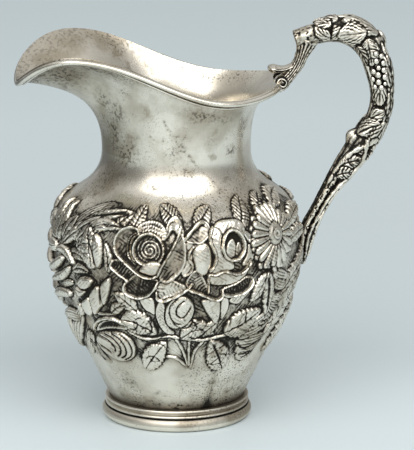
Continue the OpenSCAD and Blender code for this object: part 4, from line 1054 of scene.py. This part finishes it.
ribs.relief += 0.5 * np.sin(ribs.y * 0.9 + ribs.x) * bell(ribs.y - 2.0, 2.5)
chips = ribs.uneven(np.random.default_rng(12), 0.4)
ribs.relief = ribs.softened(ribs.relief - 0.12 * chips, 0.25)
ribs.ink = np.maximum(0.8 * ribs.ink, np.clip(0.3 * chips, 0.0, 0.6))
root_strap = limb_piece("strap_casting", strap, ribs, cast_silver, grimed_and_shaded(ribs, 0.42, 0.3, 0.5),
                        ([(0.95, 0.3), (0.5, 1.0)], [(0.9, 0.4), (0.4, 0.8)]))
finished(root_strap, "silver_cast", "root_strap")

# Branch with its vine leaves and tendrils
# A cast vine branch, cut to a stump above the strap, that arches out and runs down to a thin end on the belly.
# Its leaves and the tendrils that twine down it are cast with it, chased sharp and left dark in the hollows.
LEAF_LAYER, TENDRIL_LAYER, SUNK = 1, 2, -1.6
BARK_R, BARK_STEP, LOWER_RUN = 7.0, 0.31, 126.0
branch_limb = Limb([(69.0, 222.0, 6.07, 6.08), (80.0, 225.3, 6.56, 6.69), (92.0, 227.5, 7.71, 7.3),
                    (103.0, 224.5, 8.2, 7.6), (111.5, 216.5, 8.04, 7.6), (117.0, 203.0, 7.54, 7.6),
                    (119.0, 188.0, 6.56, 7.14), (116.0, 174.0, 6.56, 6.99), (108.0, 160.5, 7.79, 7.3),
                    (98.3, 146.5, 7.05, 6.84), (89.0, 133.0, 5.08, 6.08), (81.9, 120.0, 4.43, 5.62),
                    (75.6, 106.0, 5.08, 5.32), (72.9, 90.0, 3.28, 3.8)])
bark = Chasing(0.0, branch_limb.length, BARK_R, BARK_STEP)
inner_edge = bark.a[None, :] + 180.0
grain = 0.22 * np.sin(bark.x * 2.1 + 1.4 * np.sin(bark.y * 0.12)) + 0.12 * np.sin(bark.x * 4.7 + bark.y * 0.5)
bark.relief += -0.9 + climb(bark.y, 9.0, 14.0) * grain
bark.relief += 0.8 * bell(inner_edge, 26.0)
for points, half, level in (
        ([(-4, 40), (-12, 58), (-22, 75), (-10, 92), (-18, 108), (-30, 122)], 0.7, 0.8),
        ([(-28, 48), (-40, 60), (-34, 74), (-46, 84), (-40, 97)], 0.75, 0.8),
        ([(-48, 54), (-50, 66), (-60, 76), (-66, 86), (-56, 94)], 0.9, 1.0),
        ([(-18, 64), (-30, 78), (-26, 90), (-36, 104), (-52, 113)], 0.75, 0.8),
        ([(-4, 14), (-6, 22), (-8, 34)], 0.8, 0.4),
        ([(-128, 14), (-126, 22), (-140, 36), (-140, 52)], 0.9, 0.4),
        ([(-150, 40), (-142, 60), (-146, 80)], 1.0, 0.4),
        ([(-8, 120), (-14, 140), (-8, 160), (-12, 184)], 1.2, 0.5),
        ([(-34, 126), (-40, 145), (-36, 165), (-30, 184)], 1.2, 0.6)):
    bark.roll(points, half, level)
bark.roll([(-116, 126), (-117, 138), (-119, 150), (-122, 162), (-114, 172), (-104, 184)], 3.3, 0.7)
bark.boss(-5, 46.0, radius=5.5, high=2.6)
bark.boss(-172, 107.0, radius=6.0, high=2.8)
bark.boss(-75, 5.0, radius=4.0, high=0.9)
bark.leaf([(-100, 69), (-106, 76), (-104, 83)], 9.5, 0.6, teeth=5, veins=0, rib=0.4, hatch=0.95, wave=1.9)
bark.groove([(-92, 82), (-120, 82.5), (-155, 83.5)], 0.5, 1.1)
for points in ([(-30, 54), (-24, 60), (-20, 66)], [(-26, 66), (-36, 73), (-38, 80)],
               [(-16, 78), (-26, 85), (-28, 92)],
               [(-40, 88), (-32, 95), (-36, 103)], [(-6, 56), (-14, 63), (-10, 70)], [(-4, 88), (-12, 96), (-8, 104)],
               [(-56, 60), (-58, 66), (-52, 72)], [(-58, 74), (-50, 80), (-54, 87)]):
    bark.leaf(points, 4.5, 1.2, teeth=4, veins=0, rib=0.7, hatch=0.8)

bark.laying = LEAF_LAYER
for points, width, high, teeth, veins, rib in (
        ([(-122, 20), (-92, 15), (-46, 12)], 7.5, 0.9, 5, 0, 0.5),
        ([(-62, 21), (-42, 17), (-22, 12)], 6.5, 0.9, 5, 0, 0.5),
        ([(-70, 26), (-100, 24), (-126, 19.5)], 7.0, 0.9, 5, 0, 0.6),
        ([(-40, 24), (-30, 22), (-16, 18)], 6.0, 0.8, 5, 0, 0.5),
        ([(-20, 44), (-30, 36), (-42, 26)], 10.5, 1.8, 6, 0, 0.3),
        ([(-58, 39), (-86, 33.5), (-108, 24)], 13.5, 1.7, 7, 0, 0.35),
        ([(-74, 41), (-96, 47), (-114, 57)], 11.0, 0.9, 5, 3, 0.5),
        ([(-126, 40), (-132, 47), (-134, 56)], 6.0, 0.7, 4, 0, 0.5),
        ([(-128, 91), (-105, 88), (-72, 84)], 9.5, 1.2, 6, 0, 0.6),
        ([(-72, 92), (-106, 96), (-138, 104)], 12.5, 1.6, 7, 0, 1.0),
        ([(-50, 90), (-60, 98), (-76, 107)], 9.0, 1.5, 6, 0, 0.5),
        ([(-118, 124), (-92, 119), (-56, 114)], 8.0, 1.3, 6, 2, 0.8),
        ([(-112, 131), (-88, 127), (-50, 123)], 8.0, 1.3, 6, 2, 0.8),
        ([(-100, 113), (-86, 110), (-66, 107)], 6.0, 0.8, 5, 0, 0.5)):
    bark.leaf(points, width, high, teeth, veins, rib=rib, hatch=1.1, wave=1.9)

bark.laying = TENDRIL_LAYER
for points, half, level in (
        ([(-56, 101), (-80, 107), (-105, 112.5), (-124, 120), (-130, 130), (-128, 139)], 1.3, 1.2),
        ([(-92, 103), (-72, 108), (-50, 115), (-46, 124), (-62, 136), (-76, 150), (-80, 168), (-72, 184)], 1.2, 1.2),
        ([(-50, 152), (-66, 157), (-84, 163), (-108, 166)], 0.6, 1.2)):
    bark.roll(points, half, level)
bark.laying = 0
bark.groove([(-20, 21.0), (-60, 21.5), (-90, 20.5), (-135, 19.5)], 0.4, 1.0)
for points, half, depth in (([(-78, 133), (-86, 141), (-92, 150), (-96, 158)], 0.5, 1.3),
                            ([(-84, 132), (-86, 136)], 0.9, 1.5),
                            ([(-98, 158), (-98, 166)], 0.8, 1.5), ([(-122, 144), (-121, 147)], 0.5, 1.2),
                            ([(-96, 168), (-90, 178)], 0.45, 1.0)):
    bark.groove(points, half, depth)
pits = bark.uneven(np.random.default_rng(8), 0.45)
rough_cast = bell(bark.y - 5.0, 5.0) + 0.6 * climb(bark.y, LOWER_RUN, LOWER_RUN + 6.0)
rough_cast = np.clip(pits - 0.5, 0.0, 1.5) * rough_cast
bark.relief -= 0.4 * rough_cast
bark.ink = np.maximum(bark.ink, 0.5 * rough_cast)
bark.relief = bark.softened(bark.relief, 0.22)
below_top, lower_end = climb(bark.y, 45.0, 60.0), climb(bark.y, LOWER_RUN, LOWER_RUN + 8.0)
# Grime and oxide in the hollows, with painted shade on the branch's inner side under the arch and towards its lower
# end on the belly
branch_grime_and_shade = (grimed_and_shaded(bark, 0.46, 0.42, 0.7) + 0.05 * below_top + 0.07 * pits
               + (0.14 + 0.08 * bell(bark.y - 107.0, 9.0)) * bell(inner_edge, 30.0)
               + 0.13 * below_top * bell(inner_edge, 42.0)
               + lower_end * (0.05 + 0.34 * bell(inner_edge, 58.0) + 0.07 * pits))


def laid_piece(name, limb, sheet, layer, material, dirt_and_shade):
    """The shapes of one layer of a sheet as closed plates whose undersides sink into the limb."""
    mask, high, shade = whole(sheet.layer == layer), whole(sheet.relief), whole(dirt_and_shade)
    on = (np.arange(mask.shape[1]) + 1) % mask.shape[1]
    cell = mask[:-1] & mask[1:] & mask[:-1][:, on] & mask[1:][:, on]
    # Cells that would touch only at a corner are dropped, which takes two rounds
    for _ in range(2):
        left = np.roll(cell, 1, 1)
        drop = np.zeros_like(cell)
        drop[1:] |= left[:-1] & cell[1:] & ~cell[:-1] & ~left[1:]
        drop[:-1] |= left[1:] & cell[:-1] & ~cell[1:] & ~left[:-1]
        cell &= ~drop
    i, j = np.nonzero(cell)
    corners = np.stack([i, i + 1, i + 1, i], 1), np.stack([j, j, on[j], on[j]], 1)
    used = np.zeros_like(mask)
    used[corners] = True
    number = np.cumsum(used).reshape(used.shape) - 1
    r, c = np.nonzero(used)
    turn = round_turns(sheet)[c]
    top = limb.at(turn, sheet.z[r], high[r, c] + 0.04)
    low = limb.at(turn, sheet.z[r], np.minimum(high[r, c] - 0.8, SUNK))
    ids = number[corners]
    size = len(top)
    faces = ids.tolist() + (ids[:, ::-1] + size).tolist()
    edges = {(a, b) for quad in ids.tolist() for a, b in zip(quad, quad[1:] + quad[:1])}
    faces += [[b, a, a + size, b + size] for a, b in edges if (b, a) not in edges]
    return piece(name, np.vstack([top, low]), faces, material, np.tile(shade[r, c], 2), sharp=75)


branch = limb_piece("branch_casting", branch_limb, bark, cast_silver, branch_grime_and_shade,
                    ([(0.92, 0.5), (0.7, 0.1), (0.3, -0.2)], [(0.8, 1.0), (0.4, 1.7)]))
finished(branch, "silver_cast", "branch")
vine_leaves = laid_piece("leaf_castings", branch_limb, bark, LEAF_LAYER, cast_silver, branch_grime_and_shade)
finished(vine_leaves, "silver_cast", "vine_leaves")
tendrils = laid_piece("tendril_castings", branch_limb, bark, TENDRIL_LAYER, cast_silver, branch_grime_and_shade)
finished(tendrils, "silver_cast", "tendrils")

# Thumb scroll
# A flat tongue cast with the strap that curls forward over the mouth, with a rolled end for the thumb.
# It is smooth and bright on top where it is handled.
TONGUE_R, TONGUE_STEP = 3.5, 0.3
thumb = Limb([(66.9, 206.4, 1.5, 4.8), (63.0, 204.9, 1.5, 5.1), (58.9, 204.6, 2.0, 5.8), (56.0, 204.9, 2.5, 6.1),
              (54.4, 205.2, 2.0, 5.4)])
tongue = Chasing(0.0, thumb.length, TONGUE_R, TONGUE_STEP)
for points, half, depth in (([(-60, 1.0), (-62, 6.0), (-70, 11.0)], 0.5, 0.5),
                            ([(-120, 1.0), (-118, 6.0), (-110, 11.0)], 0.5, 0.5),
                            ([(-84, 1.5), (-80, 5.0), (-84, 9.0), (-92, 12.0)], 0.4, 0.7)):
    tongue.groove(points, half, depth)
tongue.relief = tongue.softened(tongue.relief, 0.25)
thumb_scroll = limb_piece("thumb_tongue", thumb, tongue, cast_silver, grimed_and_shaded(tongue, 0.46, 0.2, 0.4),
                          ([(0.9, 0.3), (0.4, 0.6)], [(0.85, 0.7), (0.55, 1.3), (0.2, 1.6)]))
finished(thumb_scroll, "silver_cast", "thumb_scroll")

# Rim volutes
# A squared scroll on either side of the handle's root, where the rim moulding ends and curls up.
# Each is a coiled wire on a small cushion, cast and soldered on.
VOLUTE_X, VOLUTE_Y, VOLUTE_Z, VOLUTE_R = 60.3, 10.6, 198.0, 3.4
COIL_TURNS, COIL_START, COIL_STEPS, LEAD_STEPS = 1.45, 2.6, 60, 12
WIRE_SIDES, CUSHION_SIDES = 10, 24
CUSHION = ((5.4, 3.6), (8.6, 3.5), (9.3, 2.9), (9.5, 1.2))
volute_points, volute_faces, volute_tarnish_and_shade = [], [], []


def add_rings(rings, dirt_and_shade, flip):
    """A closed stack of rings of points, with their grime and painted shade, added to the volutes."""
    first = len(volute_points)
    volute_points.extend(rings.reshape(-1, 3))
    volute_tarnish_and_shade.extend(dirt_and_shade)
    volute_faces.extend([first + k for k in face] for face in stacked(*rings.shape[:2], flip))


def add_tube(path, across, half, tone):
    """A tube of wire along a path, with half its thickness at each point, darkened with painted shade on the side
    turned from across.
    """
    q = np.linspace(0, 2 * math.pi, WIRE_SIDES, endpoint=False)[:, None]
    beside = unit(np.cross(unit(np.gradient(path, axis=0)), across))[:, None]
    rings = path[:, None] + half[:, None, None] * (np.cos(q) * beside + np.sin(q) * across)
    add_rings(rings, np.tile(tone + 0.35 * (np.sin(q[:, 0]) < -0.3), len(path)), True)


for hand in (-1.0, 1.0):
    turns = np.linspace(0.0, COIL_TURNS * 2 * math.pi, COIL_STEPS)
    size = VOLUTE_R * (1.0 - 0.82 * turns / turns[-1]) * (1 + 0.03 * np.cos(4 * turns - 0.6))
    coil = np.stack([VOLUTE_X + size * np.cos(turns + COIL_START), np.full_like(turns, hand * VOLUTE_Y),
                     VOLUTE_Z - size * np.sin(turns + COIL_START)], -1)
    add_tube(coil, np.array([0.0, hand, 0.0]), np.linspace(0.42, 0.36, COIL_STEPS), 0.15)
    rim_end = rim_mid[0] * (1.0, hand, 1.0)
    lead = cubic([rim_end + (0.8, 0.0, -2.4), rim_end + (2.2, -4.0 * hand, -3.0),
                  coil[0] + (-0.6, 4.0 * hand, -2.0), coil[0] + (0.0, 0.0, -0.4)], np.linspace(0, 1, LEAD_STEPS))
    add_tube(lead, np.array([0.0, 0.0, 1.0]), np.linspace(1.1, 0.5, LEAD_STEPS), 0.3)
    q = np.linspace(0, 2 * math.pi, CUSHION_SIDES, endpoint=False)
    cushion = np.array([np.stack([VOLUTE_X + r * np.cos(q), np.full_like(q, hand * y), VOLUTE_Z + r * np.sin(q)], -1)
                        for y, r in CUSHION])
    # The cushion behind the coil is painted almost black as painted shade
    add_rings(cushion, [0.95] * (len(CUSHION) * CUSHION_SIDES), hand > 0)
rim_volutes = piece("volute_pair", volute_points, volute_faces, cast_silver, volute_tarnish_and_shade, sharp=60)
finished(rim_volutes, "silver_cast", "rim_volutes")

# Grapes
# Bunches of cast berries on either side of the branch below the top leaves, and a few more lower down.
# Each berry is a rough round bead, with painted light on its top and painted shade, near black, on its lower part
# where it meets its neighbours and the branch.
BERRY_R = 1.95
berries = [(-81, 50.4, 0.95), (-66, 53.0, 0.95), (-91, 54.4, 1.0), (-68, 57.0, 1.0), (-91, 58.6, 0.85),
           (-114, 60.0, 1.0), (-74, 60.8, 1.0), (-100, 62.6, 1.08), (-76, 64.8, 1.05), (-125, 64.8, 0.95),
           (-104, 67.0, 1.05), (-123, 69.8, 0.9), (-97, 70.6, 1.0), (-79, 68.6, 0.7), (-47, 105.2, 0.85),
           (-40, 109.0, 0.9), (-38, 112.6, 0.75)]
berry_turn = np.array([hand * turn for turn, run, size in berries for hand in (1, -1)])
berry_run, berry_size = (np.repeat(column, 2) for column in np.array(berries).T[1:])
berry_at = branch_limb.at(berry_turn, berry_run, 0.5)
berry_out = unit(branch_limb.at(berry_turn, berry_run, 3.0) - berry_at)
grapes = piece("grape_bunches", berry_at, [], cast_silver)
marked(grapes, "size", berry_size)
grapes.data.attributes.new("outward", "FLOAT_VECTOR", "POINT").data.foreach_set("vector", berry_out.ravel())
grape_tree, given = node_tree("grape_bunches", {"Berry": "NodeSocketFloat"})
bead = given["Berry"].node("GeometryNodeMeshIcoSphere", {}, {"Radius": given["Berry"], "Subdivisions": 4})
where = bead.node("GeometryNodeInputPosition")
lumps = bead.node("ShaderNodeTexNoise", {}, {"Vector": where, "Scale": 420.0, "Detail": 2.0})
lumps = bead.node("ShaderNodeVectorMath", {"operation": "SCALE"}, {0: where, "Scale": (lumps - 0.5) * 0.16})
bead = bead.node("GeometryNodeSetPosition", {}, {0: bead, "Offset": lumps})
# Painted light and shade: the berry's top is left bright and its lower part painted dark
bead = bead.node("GeometryNodeStoreNamedAttribute", {"data_type": "FLOAT", "domain": "POINT"},
                 {0: bead, "Name": "hollow", "Value": 1.0 - where.parts()[2].over(0.0009, 0.0016) * 0.95})
outward = bead.node("GeometryNodeInputNamedAttribute", {"data_type": "FLOAT_VECTOR"}, {"Name": "outward"})
size = bead.node("GeometryNodeInputNamedAttribute", {"data_type": "FLOAT"}, {"Name": "size"})
facing = bead.node("FunctionNodeAlignRotationToVector", {"axis": "Z"}, {"Vector": outward})
bunch = bead.node("GeometryNodeInstanceOnPoints", {},
                  {"Points": given["Geometry"], "Instance": bead, "Rotation": facing, "Scale": size})
tree_end(grape_tree, bunch, cast_silver)
grown(grapes, grape_tree, {"Berry": BERRY_R * MM})
finished(grapes, "silver_cast", "grapes")

# Studio
# A pale blue-grey paper sweep under soft light, with the camera where the photographer stood.
# For glossy rays only, the paper carries a painted reflection of a dark flag and a painted glow, which the silver
# mirrors as the photographer's room did.
CAMERA_FAR, CAMERA_UP, CAMERA_TURN, PIXEL = 2400.0, math.radians(14.0), math.radians(-5.0), 0.58
AIM_RIGHT, AIM_Z, IMAGE_H = 17.7, 113.2, 450
FLOOR_HALF = 6000
LAMP_AT, LAMP_AIM, LAMP_WIDE, LAMP_TALL, LAMP_POWER = (-0.05, -1.35, 1.45), (0.0, 0.0, 0.14), 3.2, 1.7, 40.0
# Bands of painted light and shade on the paper, from front to back
PAPER_LIGHT_AND_SHADE = [(0.0, (0.65, 0.725, 0.75)), (0.10, (0.665, 0.74, 0.765)), (0.21, (0.60, 0.675, 0.70)),
               (0.46, (0.615, 0.685, 0.71)), (0.73, (0.66, 0.74, 0.765)), (1.0, (0.645, 0.725, 0.75))]
# Colours of the painted flag reflection and of the painted glow
PAINTED_FLAG_SHADE, GLOW, NO_GLOW = rgba((0.06, 0.06, 0.06)), rgba((0.17, 0.175, 0.175)), rgba((0.0, 0.0, 0.0))
paper = bpy.data.materials.new("paper")
paper.use_nodes = True
paper_shader = paper.node_tree.nodes["Principled BSDF"]
paper_start = Wire(paper.node_tree)
paper_x, paper_y = paper_start.node("ShaderNodeTexCoord", out=3).parts()[:2]
# The paper is painted lighter and darker in bands from front to back, as painted light and shade
paper_lit_tone = paper_start.node("ShaderNodeValToRGB", {"stops": PAPER_LIGHT_AND_SHADE}, {0: paper_y.over(-0.4, 1.4)})
mirrored = paper_start.node("ShaderNodeLightPath", out=3)
# Painted reflection: seen only in glossy rays, the paper goes dark on the left as if a black flag stood there
painted_flag_reflection = mirrored * (1.0 - paper_x.over(-0.38, -0.06)) * paper_y.over(0.08, 0.42)
# Painted reflection: seen only in glossy rays, the paper glows in front though it is no lamp
glow = mirrored * (1.0 - paper_y.over(-1.6, -0.7)) * (paper_x.over(-0.9, -0.3) * (1.0 - paper_x.over(0.3, 0.9)))
(painted_flag_reflection * 0.85).blend(paper_lit_tone, PAINTED_FLAG_SHADE).into(paper_shader, "Base Color")
glow.blend(NO_GLOW, GLOW).into(paper_shader, "Emission Color")
for key, value in (("Emission Strength", 1.0), ("Roughness", 0.5), ("Specular IOR Level", 0.25)):
    paper_shader.inputs[key].default_value = value
floor = piece("floor", [(x * FLOOR_HALF, y * FLOOR_HALF, 0) for x, y in ((-1, -1), (1, -1), (1, 1), (-1, 1))],
              [(0, 1, 2, 3)], paper)

world = bpy.data.worlds.new("studio")
bpy.context.scene.world = world
world.use_nodes = True
background = world.node_tree.nodes["Background"]
sky_x, sky_y, sky_z = Wire(world.node_tree).node("ShaderNodeTexCoord", out=0).parts()
sky = sky_z.over(-0.1, 0.9).blend(rgba((0.42, 0.45, 0.46)), rgba((0.95, 0.97, 0.97)))
sky = (sky_x.over(-0.85, 0.1) + sky_z.over(0.25, 0.7)).clip().blend(rgba((0.25, 0.25, 0.24)), sky)
sky = (sky_x.over(0.35, 0.95) * 0.4).blend(sky, rgba((0.30, 0.30, 0.29)))
sky = (sky_y.over(0.4, 0.9) * (1.0 - sky_z.over(0.2, 0.6)) * 0.6).blend(sky, rgba((0.60, 0.62, 0.62)))
sky = ((1.0 - sky_y.over(-0.9, -0.3)) * 0.7).blend(sky, rgba((0.86, 0.87, 0.86)))
low_front = (1.0 - sky_y.over(-0.9, -0.55)) * (1.0 - sky_x.over(0.05, 0.35)) * (1.0 - sky_z.over(0.3, 0.6))
low_front.blend(sky, rgba((1.3, 1.31, 1.29))).into(background, "Color")
background.inputs["Strength"].default_value = 0.74

light = bpy.data.lights.new("soft_box_high", "AREA")
light.shape, light.size, light.size_y, light.energy = "RECTANGLE", LAMP_WIDE, LAMP_TALL, LAMP_POWER
lamp = bpy.data.objects.new("soft_box_high", light)
bpy.context.scene.collection.objects.link(lamp)
lamp.location = LAMP_AT
way = np.array(LAMP_AIM) - np.array(LAMP_AT)
lamp.rotation_euler = (math.atan2(math.hypot(way[0], way[1]), -way[2]), 0.0, math.atan2(way[0], -way[1]) + math.pi)

camera = bpy.data.objects.new("camera", bpy.data.cameras.new("camera"))
bpy.context.scene.collection.objects.link(camera)
right = np.array([math.cos(CAMERA_TURN), math.sin(CAMERA_TURN), 0.0])
ahead = np.array([-math.sin(CAMERA_TURN) * math.cos(CAMERA_UP), math.cos(CAMERA_TURN) * math.cos(CAMERA_UP),
                  -math.sin(CAMERA_UP)])
camera.location = ((AIM_RIGHT * right + np.array([0.0, 0.0, AIM_Z]) - CAMERA_FAR * ahead) * MM).tolist()
camera.rotation_euler = (math.pi / 2 - CAMERA_UP, 0.0, CAMERA_TURN)
camera.data.sensor_width = 36.0
camera.data.lens = CAMERA_FAR / PIXEL * camera.data.sensor_width / IMAGE_H
camera.data.clip_end = 50.0
bpy.context.scene.camera = camera
bpy.context.scene.view_settings.view_transform = "Standard"
